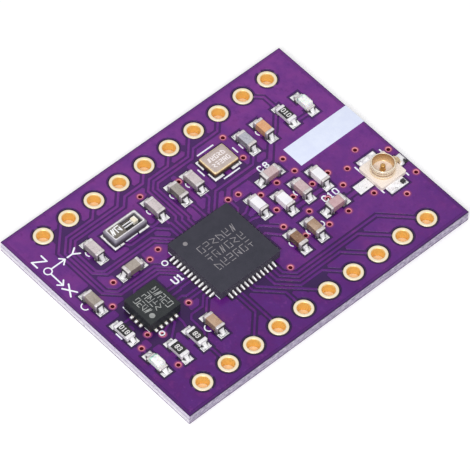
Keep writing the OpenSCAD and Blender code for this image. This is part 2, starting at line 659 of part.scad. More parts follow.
module silkscreen_top() {
    color([0.9, 0.92, 0.98]) translate([0, 0, board_t]) {
        translate([-3.02, block_from, 0]) cube([block_w, board_l / 2 - block_from, ink_t]);
        linear_extrude(ink_t) offset(r = ink_w / 2, $fn = spot_n)
            for (s = INK_LINES) polygon(ribbon(s, 0.01));
        for (c = INK_RINGS)
            translate(c[0]) linear_extrude(ink_t) difference() {
                circle(r = c[1] + ink_w / 2, $fn = ring_n);
                circle(r = c[1] - ink_w / 2, $fn = ring_n);
            }
        linear_extrude(ink_t)
            for (c = INK_ARCS) translate(c[0]) polygon(arc_band(c[1], ink_w, c[2], c[3]));
    }
}

// A lead of the microcontroller, grown by more for its pocket
module soc_lead(more) {
    translate([soc_w / 2 - soc_lead_l, -soc_lead_w / 2, -more])
        cube([soc_lead_l + more, soc_lead_w, soc_lead_t + more]);
}

module soc_body() {
    color([0.25, 0.26, 0.3]) difference() {
        seated(soc_at) plate(soc_w, soc_w, soc_h, 0.05);
        translate([0, 0, seat_z]) round_package(soc_at, [0, 90, 180, 270], soc_count, soc_pitch)
            translate([soc_w / 2 - soc_lead_l, -soc_lead_w / 2, -1]) cube([1, soc_lead_w, 1 + soc_lead_t]);
        seated(soc_at) translate([-soc_paddle / 2, -soc_paddle / 2, -1])
            cube([soc_paddle, soc_paddle, 1 + soc_lead_t]);
        seated(soc_at) translate([soc_mark_x - soc_w / 2, soc_mark_y - soc_w / 2, soc_h - soc_mark_t])
            cylinder(d = soc_mark_d, h = 1, $fn = ring_n);
    }
}

module soc_leads() {
    color([0.8, 0.8, 0.82]) translate([0, 0, seat_z])
        round_package(soc_at, [0, 90, 180, 270], soc_count, soc_pitch)
            translate([soc_w / 2 - soc_lead_l, -soc_lead_w / 2, 0])
                cube([soc_lead_l, soc_lead_w, soc_lead_t]);
}

module soc_thermal_pad() {
    color([0.8, 0.8, 0.82]) seated(soc_at) linear_extrude(soc_lead_t) square(soc_paddle, center = true);
}

module lead_solder() {
    color([0.95, 0.93, 0.9]) translate([0, 0, pad_z]) {
        round_package(soc_at, [0, 90, 180, 270], soc_count, soc_pitch)
            translate([soc_w / 2, 0, 0])
                along_y(soc_lead_w, joint_outline(soc_lead_l, soc_reach, solder_t, soc_lead_t));
        translate([soc_at.x, soc_at.y, 0]) linear_extrude(solder_t) square(soc_paddle, center = true);
    }
}

module accelerometer_body() {
    color([0.2, 0.22, 0.24]) difference() {
        seated(acc_at) plate(acc_w, acc_w, acc_h, 0.05);
        translate([0, 0, seat_z]) {
            round_package(acc_at, [90, 270], 3, acc_pitch) land_pocket();
            round_package(acc_at, [0, 180], 5, acc_pitch) land_pocket();
        }
    }
}

module land_pocket() {
    translate([acc_w / 2 - acc_land_l, -acc_land_w / 2, -1]) cube([1, acc_land_w, 1 + acc_land_t]);
}

module sensor_land() {
    translate([acc_w / 2 - acc_land_l, -acc_land_w / 2, 0]) cube([acc_land_l, acc_land_w, acc_land_t]);
}

module accelerometer_lands() {
    color([0.9, 0.85, 0.75]) translate([0, 0, seat_z]) {
        round_package(acc_at, [90, 270], 3, acc_pitch) sensor_land();
        round_package(acc_at, [0, 180], 5, acc_pitch) sensor_land();
    }
}

module sensor_joint() {
    translate([acc_w / 2, 0, 0])
        along_y(acc_land_w, joint_outline(acc_land_l, acc_reach, solder_t, acc_climb));
}

module land_solder() {
    color([0.95, 0.93, 0.9]) translate([0, 0, pad_z]) {
        round_package(acc_at, [90, 270], 3, acc_pitch) sensor_joint();
        round_package(acc_at, [0, 180], 5, acc_pitch) sensor_joint();
    }
}

module watch_crystal_case() {
    color([0.35, 0.36, 0.4]) seated(watch_at) difference() {
        plate(watch_w, watch_l, watch_case_h, 0.1);
        translate([0, 0, watch_floor])
            plate(watch_w - 2 * watch_wall, watch_l - 2 * watch_wall, watch_case_h, 0.08);
    }
}

module watch_crystal_frame() {
    color([0.85, 0.84, 0.86]) seated(watch_at) translate([0, 0, watch_case_h]) difference() {
        plate(watch_w - 0.06, watch_l - 0.06, watch_frame_h, 0.2);
        translate([0, 0, -1])
            plate(watch_w - 2 * watch_wall, watch_l - 2 * watch_wall, watch_frame_h + 2, 0.12);
    }
}

module watch_crystal_glass() {
    color([0.5, 0.5, 0.48]) seated(watch_at)
        translate([0, 0, watch_case_h + watch_frame_h - 0.04 - watch_glass_t])
            plate(watch_w - 2 * watch_wall, watch_l - 2 * watch_wall, watch_glass_t, 0.12);
}

// The fork hangs over the floor from a pedestal at its far end
module watch_crystal_fork() {
    fork_w = 2 * fork_tine_w + fork_slot;
    color([0.9, 0.85, 0.72]) seated(watch_at)
        translate([0, watch_l / 2 - watch_wall, watch_floor]) {
            translate([-fork_w / 2, -0.6, 0]) cube([fork_w, 0.55, 0.12 + fork_t]);
            for (side = [-1, 1])
                translate([side * (fork_slot + fork_tine_w) / 2 - fork_tine_w / 2, -2.1, 0.12])
                    cube([fork_tine_w, 1.6, fork_t]);
        }
}

module main_crystal_base() {
    color([0.2, 0.16, 0.15]) seated(main_at) plate(main_w, main_l, main_base_h, 0.12);
}

module main_crystal_seal() {
    color([0.85, 0.7, 0.45]) seated(main_at) translate([0, 0, main_base_h]) difference() {
        plate(main_w - 0.04, main_l - 0.04, main_seal_h, 0.14);
        translate([0, 0, -1]) plate(main_w - 2 * main_wall, main_l - 2 * main_wall, main_seal_h + 2, 0.08);
    }
}

module main_crystal_lid() {
    color([0.78, 0.72, 0.68]) seated(main_at) translate([0, 0, main_base_h + main_seal_h]) {
        plate(main_w - 0.1, main_l - 0.1, main_lid_h * 0.6, 0.14);
        plate(main_w - 0.2, main_l - 0.2, main_lid_h, 0.1);
    }
}

module part_solder() {
    color([0.92, 0.92, 0.94]) translate([0, 0, pad_z]) {
        for (side = [-1, 1]) {
            translate(watch_pad(side)) plate(watch_pad_w - 0.04, watch_pad_l - 0.04, solder_t, 0.05);
            for (end = [-1, 1])
                translate(main_pad(side, end)) plate(main_pad_w - 0.04, main_pad_l - 0.04, solder_t, 0.05);
        }
        for (p = ant_pads)
            translate([ant_at.x + p[0].x, ant_at.y + p[0].y])
                plate(p[1].x - 0.04, p[1].y - 0.04, solder_t, 0.05);
    }
}

// Feet of the socket's contacts, under the base: two of the ring across, and one of the pin
module ring_feet(grow) {
    for (side = [-1, 1])
        translate([side * (ant_foot_reach + 0.7) / 2, 0, 0])
            linear_extrude(ant_foot_t) square([ant_foot_reach - 0.7, 1.5 + 2 * grow], center = true);
}

module ring_posts() {
    for (side = [-1, 1])
        translate([side * (ant_ring_d - ant_ring_t) / 2 - ant_ring_t / 2, -0.25, 0])
            cube([ant_ring_t, 0.5, ant_base_h]);
}

module pin_foot() {
    translate([-0.3, -ant_foot_reach, 0]) cube([0.6, ant_foot_reach, ant_foot_t]);
}

module antenna_base() {
    color([0.97, 0.92, 0.87]) seated(ant_at) difference() {
        plate(ant_base_w, ant_base_w, ant_base_h, 0.15);
        ring_feet(0);
        ring_posts();
        pin_foot();
        cylinder(d = 2 * ant_pin_d, h = ant_base_h, $fn = ring_n);
        translate([-0.3, ant_base_w / 2 - 0.3, 0]) cube([0.6, 1, ant_base_h]);
    }
}

// Ring with a groove round the outside, a tab down to the pad behind and two feet under the base
module antenna_ring() {
    r = ant_ring_d / 2;
    top = ant_ring_h - solder_t;
    low = ant_base_h;
    mid = (low + top) / 2;
    color([0.85, 0.66, 0.4]) seated(ant_at) {
        rotate_extrude($fn = 96) polygon([
            [r - ant_ring_t, low], [r + 0.04, low], [r, low + 0.1], [r, mid - 0.12], [r - ant_groove, mid],
            [r, mid + 0.12], [r, top - 0.04], [r - 0.04, top],
            [r - ant_ring_t, top]]);
        ring_feet(0);
        ring_posts();
        rotate([90, 0, 90]) translate([0, 0, -0.3]) linear_extrude(0.6) polygon([
            [r - 0.06, low], [ant_base_w / 2 - 0.3, low], [ant_base_w / 2 - 0.3, 0], [ant_foot_reach, 0],
            [ant_foot_reach, ant_foot_t], [ant_base_w / 2, ant_foot_t], [ant_base_w / 2, low + ant_foot_t],
            [r - 0.06, low + ant_foot_t]]);
    }
}

module antenna_pin() {
    top = ant_pin_h - solder_t;
    r = ant_pin_d / 2;
    color([0.9, 0.72, 0.42]) seated(ant_at) {
        rotate_extrude($fn = 48) polygon([
            [0, 0], [2 * r, 0], [2 * r, ant_base_h], [1.5 * r, ant_base_h + 0.05], [r, ant_base_h + 0.15],
            [r, top - 0.08], [0.7 * r, top], [0, top]]);
        pin_foot();
    }
}

// Core of a chip part, inside its metal ends
module chip_core(h) {
    translate([skin - chip_l / 2, 0, skin])
        along_x(chip_l - 2 * skin, rounded(chip_w - 2 * skin, h - 2 * skin, chip_r - skin));
}

// Both metal ends of a chip part, each a cap over the core
module chip_ends(h, l) {
    for (turn = [0, 180])
        rotate(turn) translate([-chip_l / 2, 0, 0]) difference() {
            along_x(l, rounded(chip_w, h, chip_r));
            translate([skin, 0, skin]) along_x(l, rounded(chip_w - 2 * skin, h - 2 * skin, chip_r - skin));
        }
}

// Solder under and beyond both ends of a chip part
module chip_joints(l, climb) {
    reach = (pads_span - chip_l) / 2;
    for (turn = [0, 180])
        rotate(turn) translate([chip_l / 2, 0, -solder_t])
            along_y(chip_w - 0.06, joint_outline(l, reach - 0.03, solder_t, climb));
}

module capacitor(i) {
    color([0.72, 0.66, 0.6]) seated(CAPACITORS[i]) chip_core(cap_h);
}

module capacitor_ends() {
    color([0.88, 0.88, 0.9]) for (p = CAPACITORS) seated(p) chip_ends(cap_h, end_l);
}

module inductor(i) {
    color([0.93, 0.93, 0.95]) seated(INDUCTORS[i]) chip_core(ind_h);
}

module inductor_ends() {
    color([0.88, 0.88, 0.9]) for (p = INDUCTORS) seated(p) chip_ends(ind_h, end_l);
}

module resistor(i) {
    color([0.92, 0.92, 0.92]) seated(RESISTORS[i]) chip_core(res_h);
}

module resistor_glaze() {
    l = chip_l - 2 * res_end_l;
    color([0.1, 0.1, 0.11]) for (p = RESISTORS)
        seated(p) translate([0, 0, res_h - skin]) linear_extrude(glaze_t)
            square([l, chip_w - 2 * chip_r], center = true);
}

module resistor_ends() {
    color([0.88, 0.88, 0.9]) for (p = RESISTORS) seated(p) chip_ends(res_h, res_end_l);
}

module led_substrates() {
    color([0.93, 0.95, 0.93]) for (p = LIGHTS)
        seated(p) translate([skin - chip_l / 2, 0, skin])
            along_x(chip_l - 2 * skin, rounded(chip_w - 2 * skin, led_base_h - 2 * skin, 0.02));
}

module led_lens(i) {
    h = led_lens_h;
    color([0.9, 0.97, 0.95]) seated(LIGHTS[i]) translate([0, 0, led_base_h - skin])
        along_y(chip_w - 0.1, [[-led_lens_l / 2, 0], [led_lens_l / 2, 0], [led_lens_l / 2 - 0.1, h - 0.05],
            [led_lens_l / 2 - 0.16, h], [0.16 - led_lens_l / 2, h], [0.1 - led_lens_l / 2, h - 0.05]]);
}

module led_ends() {
    color([0.88, 0.88, 0.9]) for (p = LIGHTS)
        seated(p) for (turn = [0, 180])
            rotate(turn) translate([-chip_l / 2, 0, 0]) difference() {
                along_x(0.24, rounded(chip_w, led_base_h, 0.04));
                translate([skin, 0, skin])
                    along_x(0.24, rounded(chip_w - 2 * skin, led_base_h - 2 * skin, 0.02));
            }
}

module chip_solder() {
    color([0.92, 0.92, 0.94]) {
        for (p = CAPACITORS) seated(p) chip_joints(end_l, cap_h * 0.6);
        for (p = INDUCTORS) seated(p) chip_joints(end_l, ind_h * 0.6);
        for (p = RESISTORS) seated(p) chip_joints(res_end_l, res_h * 0.7);
        for (p = LIGHTS) seated(p) chip_joints(0.24, led_base_h * 0.8);
    }
}

board_laminate();
copper_top();
copper_bottom();
solder_mask_top();
solder_mask_bottom();
header_pads();
via_barrels();
silkscreen_top();
soc_body();
soc_leads();
soc_thermal_pad();
lead_solder();
accelerometer_body();
accelerometer_lands();
land_solder();
watch_crystal_case();
watch_crystal_frame();
watch_crystal_glass();
watch_crystal_fork();
main_crystal_base();
main_crystal_seal();
main_crystal_lid();
part_solder();
antenna_base();
antenna_ring();
antenna_pin();
capacitor(0);  // capacitor_1
capacitor(1);  // capacitor_2
capacitor(2);  // capacitor_3
capacitor(3);  // capacitor_4
capacitor(4);  // capacitor_5
capacitor(5);  // capacitor_6
capacitor(6);  // capacitor_7
capacitor(7);  // capacitor_8
capacitor(8);  // capacitor_9
capacitor(9);  // capacitor_10
capacitor(10);  // capacitor_11
capacitor(11);  // capacitor_12
capacitor(12);  // capacitor_13
capacitor(13);  // capacitor_14
capacitor_ends();
inductor(0);  // inductor_1
inductor(1);  // inductor_2
inductor(2);  // inductor_3
inductor_ends();
resistor(0);  // resistor_1
resistor(1);  // resistor_2
resistor(2);  // resistor_3
resistor(3);  // resistor_4
resistor_glaze();
resistor_ends();
led_substrates();
led_lens(0);  // led_lens_1
led_lens(1);  // led_lens_2
led_ends();
chip_solder();
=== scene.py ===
"""Looks of the accelerometer module: a small purple circuit board, seen from above on white."""
import bmesh
import bpy
import random
from math import atan2, cos, exp, pi, radians, sin, sqrt
from mathutils import Matrix, Vector, noise


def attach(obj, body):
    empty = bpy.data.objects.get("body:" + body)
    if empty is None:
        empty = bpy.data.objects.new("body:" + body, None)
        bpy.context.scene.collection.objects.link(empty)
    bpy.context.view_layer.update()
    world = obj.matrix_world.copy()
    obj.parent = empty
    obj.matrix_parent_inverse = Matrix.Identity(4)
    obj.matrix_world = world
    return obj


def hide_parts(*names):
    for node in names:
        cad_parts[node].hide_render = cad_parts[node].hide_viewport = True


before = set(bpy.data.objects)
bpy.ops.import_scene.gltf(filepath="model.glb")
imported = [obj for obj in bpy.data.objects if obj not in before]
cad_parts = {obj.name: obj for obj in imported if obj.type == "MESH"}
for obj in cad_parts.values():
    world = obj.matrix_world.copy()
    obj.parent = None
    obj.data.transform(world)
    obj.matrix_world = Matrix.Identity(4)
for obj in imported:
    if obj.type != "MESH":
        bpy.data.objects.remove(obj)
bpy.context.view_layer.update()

scene = bpy.context.scene

# Lengths are in millimetres and angles in degrees; MM turns a length into metres
MM = 0.001
BOARD = (21.1, 28.45)
BOARD_TOP = 1.0
LAMINATE_TOP = 0.915
# The bare pads' top, and the height at which the parts stand
PAD_Z = 0.97
SEAT_Z = 1.02

# Parts as (x, y) or (x, y, turn)
SOC = (1.3, -2.41)
SENSOR = (1.6, -9.87)
WATCH = (-5.17, -6.55)
MAIN = (-5.33, 3.12)
SOCKET = (3.53, 11.88)
CAPACITORS = [
    (-5.31, 5.96, 0), (-5.3, 7.77, 0), (-5.1, 0.39, 0), (-5.1, -1.22, 0), (-5.15, -3.53, 0),
    (-5.22, -9.6, 0), (-2.08, -8.55, 90), (-1.71, -12.78, 0), (5.68, -7.38, 0), (-1.78, 5.18, 90),
    (0.8, 6.05, 0), (3.55, 6.98, 90), (4.13, 4.27, 0), (4.13, 2.52, 0)]
INDUCTORS = [(-0.23, 2.5, 0), (0.82, 4.27, 0), (0.82, 7.85, 0)]
RESISTORS = [(-5.25, 10.03, 0), (1.84, -12.85, 0), (5.68, -10.93, 0), (5.69, -9.14, 0)]
LIGHTS = [(-5.17, 11.93, 0), (5.48, -12.87, 0)]
VIAS = [
    (-6.85, -3.51), (-2.2, -10.35), (-1.98, -6.88), (-2.28, -5.8), (-5.99, -0.35), (-2.27, 1.31),
    (-2.13, 2.23), (-6.91, 5.01), (-4.47, 4.88), (-2.4, 7.07), (-0.97, 3.47), (-1.03, 5.18),
    (-0.98, 6.97), (0.85, 3.42), (0.77, 5.2), (0.82, 7.13), (0.82, 8.73), (2.37, 2.73), (2.57, 5.19),
    (2.62, 7.07), (2.43, 8.82), (4.07, 3.43), (4.47, 5.5), (4.5, 7.45), (0.59, 11.8), (1.5, 10.13),
    (2.22, 13.75), (4.52, 10.07), (5.18, 13.85), (6.23, 11.9), (-0.58, -11.87), (2.88, -7.38),
    (3.05, -11.63), (3.69, -12.8), (3.78, -10.77), (6.58, -11.75), (5.49, 0.53)]
HEADER_X, HEADER_PITCH = 8.89, 2.54
HEADERS = [(side * HEADER_X, (i - 4.5) * HEADER_PITCH) for side in (-1, 1) for i in range(10)]

# A chip part's length and width, the length of its core, and the height of each kind
CHIP_L, CHIP_W = 1.6, 0.8
CORE_L = 1.3
BLOCK_H, RESISTOR_H, LIGHT_H = 0.7, 0.45, 0.27
# A chip part's joint: half its width, its run beyond the part, and how far it goes under the part
JOINT_HALF, JOINT_RUN, JOINT_BACK = 0.42, 0.46, 0.34
# The moulded chips' width and height, and the pitch of their leads or lands
SOC_W, SOC_H, SOC_PITCH = 5.985, 0.85, 0.4
SENSOR_W, SENSOR_H, SENSOR_PITCH = 2.985, 1.0, 0.5
# The crystals' width and length, and the heights at which one part of them gives way to the next
WATCH_W, WATCH_L, FRAME_FOOT = 1.49, 3.19, 0.6
MAIN_W, MAIN_L, SEAL_FOOT, SEAL_TOP = 2.0, 2.5, 0.3, 0.42


# ---- finishes

def tone(v):
    """What a colour socket takes, from a grey of 0 to 1 or from screen values of 0 to 255."""
    if isinstance(v, (int, float)):
        return (v, v, v, 1)
    return (*[c / 12.92 if c <= 0.04045 else ((c + 0.055) / 1.055) ** 2.4 for c in (k / 255 for k in v)], 1)


def is_socket(v):
    return isinstance(v, bpy.types.NodeSocket)


class Graph:
    """The nodes of a material or of the world."""

    def __init__(self, owner, output):
        owner.use_nodes = True
        self.tree = owner.node_tree
        self.tree.nodes.clear()
        self.out = self.node(output)

    def link(self, a, b):
        self.tree.links.new(a, b)

    def node(self, kind, inputs=None, **settings):
        """A new node, its kind without the ShaderNode that all of them begin with."""
        n = self.tree.nodes.new("ShaderNode" + kind)
        for k, v in settings.items():
            setattr(n, k, v)
        for k, v in (inputs or {}).items():
            if is_socket(v):
                self.link(v, n.inputs[k])
            else:
                n.inputs[k].default_value = v
        return n

    def ramp(self, fac, *stops):
        n = self.node("ValToRGB", {0: fac})
        for i, (at, colour) in enumerate(stops):
            stop = n.color_ramp.elements[i] if i < 2 else n.color_ramp.elements.new(at)
            stop.position = at
            stop.color = tone(colour)
        return n.outputs[0]

    def mix(self, fac, a, b):
        a, b = [v if is_socket(v) else tone(v) for v in (a, b)]
        return self.node("Mix", {0: fac, 6: a, 7: b}, data_type="RGBA").outputs[2]

    def lay(self, under, over, by, *stops):
        """A colour laid over another one, as densely as the stops say for what it goes by."""
        return self.mix(self.ramp(by, *stops), under, over)

    def op(self, kind, *values):
        return self.node("Math", dict(enumerate(values)), operation=kind).outputs[0]


# Every finish by its name
F = {}


class Finish(Graph):
    """A procedural material. Its coordinates are those of the row frame, in millimetres."""

    def __init__(self, name, **sockets):
        self.mat = bpy.data.materials.new(name)
        super().__init__(self.mat, "OutputMaterial")
        F[name] = self
        self.shader = self.node("BsdfPrincipled", {k.replace("_", " "): v for k, v in sockets.items()})
        self.link(self.shader.outputs[0], self.out.inputs[0])
        own = self.node("TexCoord").outputs["Object"]
        self.mm = self.node("Mapping", {"Vector": own, "Scale": (1000,) * 3}).outputs[0]

    def noise(self, scale, detail=3.0, rough=0.6, bend=0):
        """A cloud; three scales stretch it along the axes."""
        at = self.mm
        if isinstance(scale, tuple):
            at, scale = self.node("Mapping", {"Vector": at, "Scale": scale}).outputs[0], 1.0
        return self.node("TexNoise", {"Vector": at, "Scale": scale, "Detail": detail, "Roughness": rough,
                                      "Distortion": bend}).outputs[0]

    def axis(self, k):
        return self.node("SeparateXYZ", {0: self.mm}).outputs[k]

    def off(self, k, at):
        """Distance along an axis from there, with its sign."""
        return self.op("SUBTRACT", self.axis(k), at)

    def size(self, k):
        """Distance along an axis from the middle, without its sign."""
        return self.op("ABSOLUTE", self.axis(k))

    def length(self, x, y):
        plan = self.node("CombineXYZ", {0: x, 1: y}).outputs[0]
        return self.node("VectorMath", {0: plan}, operation="LENGTH").outputs["Value"]

    def swing(self, cloud, by):
        """A cloud as something to add: about 0, and as large as that."""
        return self.op("MULTIPLY", self.op("SUBTRACT", cloud, 0.5), by)

    def facing_up(self):
        """1 on what faces up, 0 on walls."""
        normal = self.node("TexCoord").outputs["Normal"]
        return self.ramp(self.node("SeparateXYZ", {0: normal}).outputs[2], (0.35, 0), (0.8, 1))

    def paint(self, colour):
        self.link(colour, self.shader.inputs["Base Color"])

    def gloss(self, fac, low, high):
        out = self.node("MapRange", {"Value": fac, "To Min": low, "To Max": high}).outputs[0]
        self.link(out, self.shader.inputs["Roughness"])

    def bump(self, height, depth, **more):
        """A relief of that depth."""
        out = self.node("Bump", {"Height": height, "Distance": depth * MM, "Strength": 1.0, **more}).outputs[0]
        self.link(out, self.shader.inputs["Normal"])


def solder_mask():
    """Tinted film: darker and bluer down in the valleys, lighter over the copper and near the rim, dark at the
    very edge.
    """
    pale, deep, low_valley = (124, 48, 140), (84, 6, 110), (34, 6, 62)
    f = Finish("solder_mask", IOR=1.5, Specular_IOR_Level=0.42, Coat_Weight=0.12, Coat_Roughness=0.1)
    broad = f.noise(0.16, 2, 0.5)
    cloud = f.noise(0.85)
    weave = f.noise((3.2, 14, 3), 2)
    # the film is a little thinner toward one long side and one corner
    slope = f.op("SUBTRACT", f.axis(0), f.op("MULTIPLY", f.axis(1), 0.4))
    drift = f.op("ADD", f.op("MULTIPLY", slope, 0.014), f.op("MULTIPLY", broad, 0.45))
    over = f.ramp(drift, (0.04, pale), (0.24, (105, 35, 128)), (0.37, deep))
    over = f.lay(over, (86, 26, 126), cloud, (0.4, 0), (0.68, 0.55))
    over = f.lay(over, (118, 34, 124), cloud, (0.26, 0.5), (0.42, 0))
    patch = f.noise(2.4, 3, 0.65)
    over = f.lay(over, deep, patch, (0.28, 0.5), (0.44, 0))
    over = f.lay(over, pale, patch, (0.58, 0), (0.72, 0.45))
    under = f.ramp(drift, (0.1, (56, 15, 86)), (0.37, low_valley))
    raised = f.ramp(f.axis(2), (0.02, 1), (0.05, 0), (0.966, 0), (0.99, 1))
    # the rim of the board counts as raised too; less 1 mm, its distance is in the ramp's reach
    rim = f.op("MAXIMUM", *[f.op("SUBTRACT", f.size(k), BOARD[k] / 2 - 1) for k in (0, 1)])
    rim = f.ramp(rim, (0.5, 0), (0.6, 0.75), (0.915, 0.75), (0.935, 0))
    colour = f.mix(f.op("MAXIMUM", raised, rim), under, over)
    colour = f.lay(colour, low_valley, weave, (0.3, 0.12), (0.62, 0))
    # painted shade darkens the bridges between the leads, in a band round each chip that leaves its corners out
    reach = 5
    for centre, low, high, end in ((SOC, 2.9, 3.44, 2.42), (SENSOR, 1.4, 1.7, 1.2)):
        a, b = [f.op("ABSOLUTE", f.off(k, centre[k])) for k in (0, 1)]
        near = f.ramp(f.op("DIVIDE", f.op("MAXIMUM", a, b), reach), (low / reach - 0.02, 0),
                      (low / reach, 0.85), (high / reach, 0.85), (high / reach + 0.02, 0))
        beside = f.ramp(f.op("DIVIDE", f.op("MINIMUM", a, b), reach), (end / reach, 1),
                        (end / reach + 0.02, 0))
        colour = f.mix(f.op("MULTIPLY", near, beside), colour, (34, 16, 44))
    # where the cutter chipped the film along the end, the resin shows
    cut = f.ramp(f.op("DIVIDE", f.axis(1), -BOARD[1] / 2), (0.9985, 0), (0.9995, 0.85))
    cut = f.op("MULTIPLY", cut, f.op("SUBTRACT", 1.0, f.facing_up()))
    f.paint(f.mix(cut, colour, (216, 202, 228)))
    f.gloss(cloud, 0.26, 0.38)
    edges = f.node("Bevel", {"Radius": 0.05 * MM}, samples=6).outputs[0]
    f.bump(f.mix(0.5, f.noise(9), weave), 0.006, Strength=0.5, Normal=edges)


def metal(name, low, high, rough, grain, depth, metallic, reflected_specks=None, dusk=None, patchy=0.5):
    """Metal; dusk is the painted reflection it takes on where the mesh says that it faces dark surroundings,
    and its dark specks are painted reflections too.
    """
    f = Finish(name, Metallic=metallic)
    cloud = f.noise(5, 4)
    colour = f.ramp(cloud, (0.3, low), (0.68, high))
    if dusk:
        shade = f.node("Attribute", attribute_name="shade").outputs["Fac"]
        shade = f.op("ADD", shade, f.op("MULTIPLY_ADD", f.noise(5, 2), patchy, -patchy / 2))
        colour = f.lay(colour, dusk, shade, (0.12, 0), (0.8, 1))
    # painted reflections: dark specks, as of dark surroundings mirrored in the metal
    if reflected_specks:
        colour = f.lay(colour, reflected_specks, f.noise(11, 3, 0.65, 0.6), (0.6, 0), (0.74, 0.8))
    f.paint(colour)
    f.gloss(cloud, *rough)
    f.bump(f.noise(grain), depth)


def plastic(name, low, high, rough, grain, depth, side=None, spots=None):
    """Plastic, ink or ceramic; side has the two tones of its walls, lighter than the top as painted light,
    spots those of its specks.
    """
    f = Finish(name, IOR=1.5)
    cloud = f.noise(1.4, 4)
    colour = f.ramp(cloud, (0.3, low), (0.7, high))
    fine = f.noise(grain, 2, 0.7)
    if spots:
        colour = f.lay(colour, spots[0], fine, (0.6, 0), (0.72, 0.6))
        colour = f.lay(colour, spots[1], fine, (0.28, 0.55), (0.4, 0))
    # painted light: the walls take their own, lighter tones
    if side:
        colour = f.mix(f.facing_up(), f.ramp(cloud, (0.3, side[0]), (0.7, side[1])), colour)
    f.paint(colour)
    f.gloss(fine, *rough)
    f.bump(fine, depth)


def ceramic(name, low, high, edge, side):
    """The core of a chip part: mottled, streaked by the saw, layered, and darker on its flanks as painted
    shade.
    """
    f = Finish(name, IOR=1.55)
    cloud = f.noise(2.6, 4, 0.62)
    colour = f.ramp(cloud, (0.32, low), (0.68, high))
    colour = f.lay(colour, edge, f.noise((0.6, 0.6, 26), 2, 0.5), (0.42, 0.22), (0.6, 0))
    colour = f.lay(colour, edge, f.noise(11), (0.52, 0), (0.72, 0.55))
    colour = f.lay(colour, side, f.noise(7), (0.3, 0.5), (0.46, 0))
    # painted shade: the walls take the darker flank tone
    flank = f.lay(side, low, cloud, (0.35, 0), (0.65, 0.35))
    f.paint(f.mix(f.facing_up(), flank, colour))
    f.gloss(cloud, 0.32, 0.5)
    f.bump(f.noise(24), 0.006)


def solder_lumps():
    """Solder that lies thick on a pad, with dark cracks and two pits beside the socket."""
    f = Finish("solder_lumps", Metallic=0.15)
    crack = f.noise(3.4, 4, 0.7, 1.4)
    pits = [f.ramp(f.op("ADD", f.length(f.off(0, x), f.off(1, y)), f.swing(crack, 0.5)), (0.2, 1), (0.25, 0))
            for x, y in ((3.91, 13.92), (5.22, 12.44))]
    dark = f.op("MAXIMUM", f.op("MAXIMUM", *pits), f.ramp(crack, (0.6, 0), (0.66, 1)))
    f.paint(f.mix(dark, f.ramp(crack, (0.3, (236, 232, 240)), (0.55, (255, 254, 255))), (52, 48, 54)))
    f.gloss(crack, 0.2, 0.4)
    f.bump(f.noise(5, bend=0.8), 0.05)


def socket_gold():
    """The socket's contact: polished outside, banded by painted highlights and by painted reflections dark at
    the grooves; painted shade browns its bore, most toward the top.
    """
    f = Finish("socket_gold", Metallic=0.3)
    cloud = f.noise(4)
    height = f.op("DIVIDE", f.op("ADD", f.off(2, SEAT_Z), f.swing(cloud, 0.015)), 1.3)
    far = f.length(f.off(0, SOCKET[0]), f.off(1, SOCKET[1]))
    bright, brown, dark = (252, 234, 200), (166, 120, 76), (116, 76, 48)
    # painted highlights and reflections: bright and dark bands by height up the outside
    bands = f.ramp(height, (0.28, (206, 172, 124)), (0.34, bright), (0.46, (255, 240, 210)), (0.5, brown),
                   (0.53, brown), (0.57, bright), (0.66, (248, 226, 186)), (0.69, dark), (0.72, dark),
                   (0.76, (255, 240, 210)), (0.925, (255, 242, 216)))
    # painted shade: the bore darkens toward its top
    bore = f.ramp(height, (0.29, (226, 196, 152)), (0.45, (214, 180, 132)), (0.84, (178, 138, 90)),
                  (0.9, (160, 118, 74)))
    tab = f.ramp(cloud, (0.35, (224, 192, 142)), (0.65, (244, 218, 174)))
    f.paint(f.lay(f.lay(bore, bands, far, (0.868, 0), (0.88, 1)), tab, f.op("DIVIDE", far, 2),
                  (0.505, 0), (0.52, 1)))
    f.gloss(cloud, 0.22, 0.32)
    f.bump(f.noise(6), 0.002)


def watch_ceramic():
    """The watch crystal's case, darker toward its foot as painted shade."""
    f = Finish("watch_ceramic", IOR=1.5)
    cloud = f.noise(9)
    height = f.op("ADD", f.off(2, SEAT_Z), f.op("MULTIPLY_ADD", cloud, 0.2, -0.1))
    f.paint(f.ramp(height, (0.04, (32, 30, 34)), (0.24, (70, 66, 74)), (0.44, (106, 102, 112)),
                   (0.62, (150, 146, 158))))
    f.gloss(cloud, 0.35, 0.55)
    f.bump(cloud, 0.01)


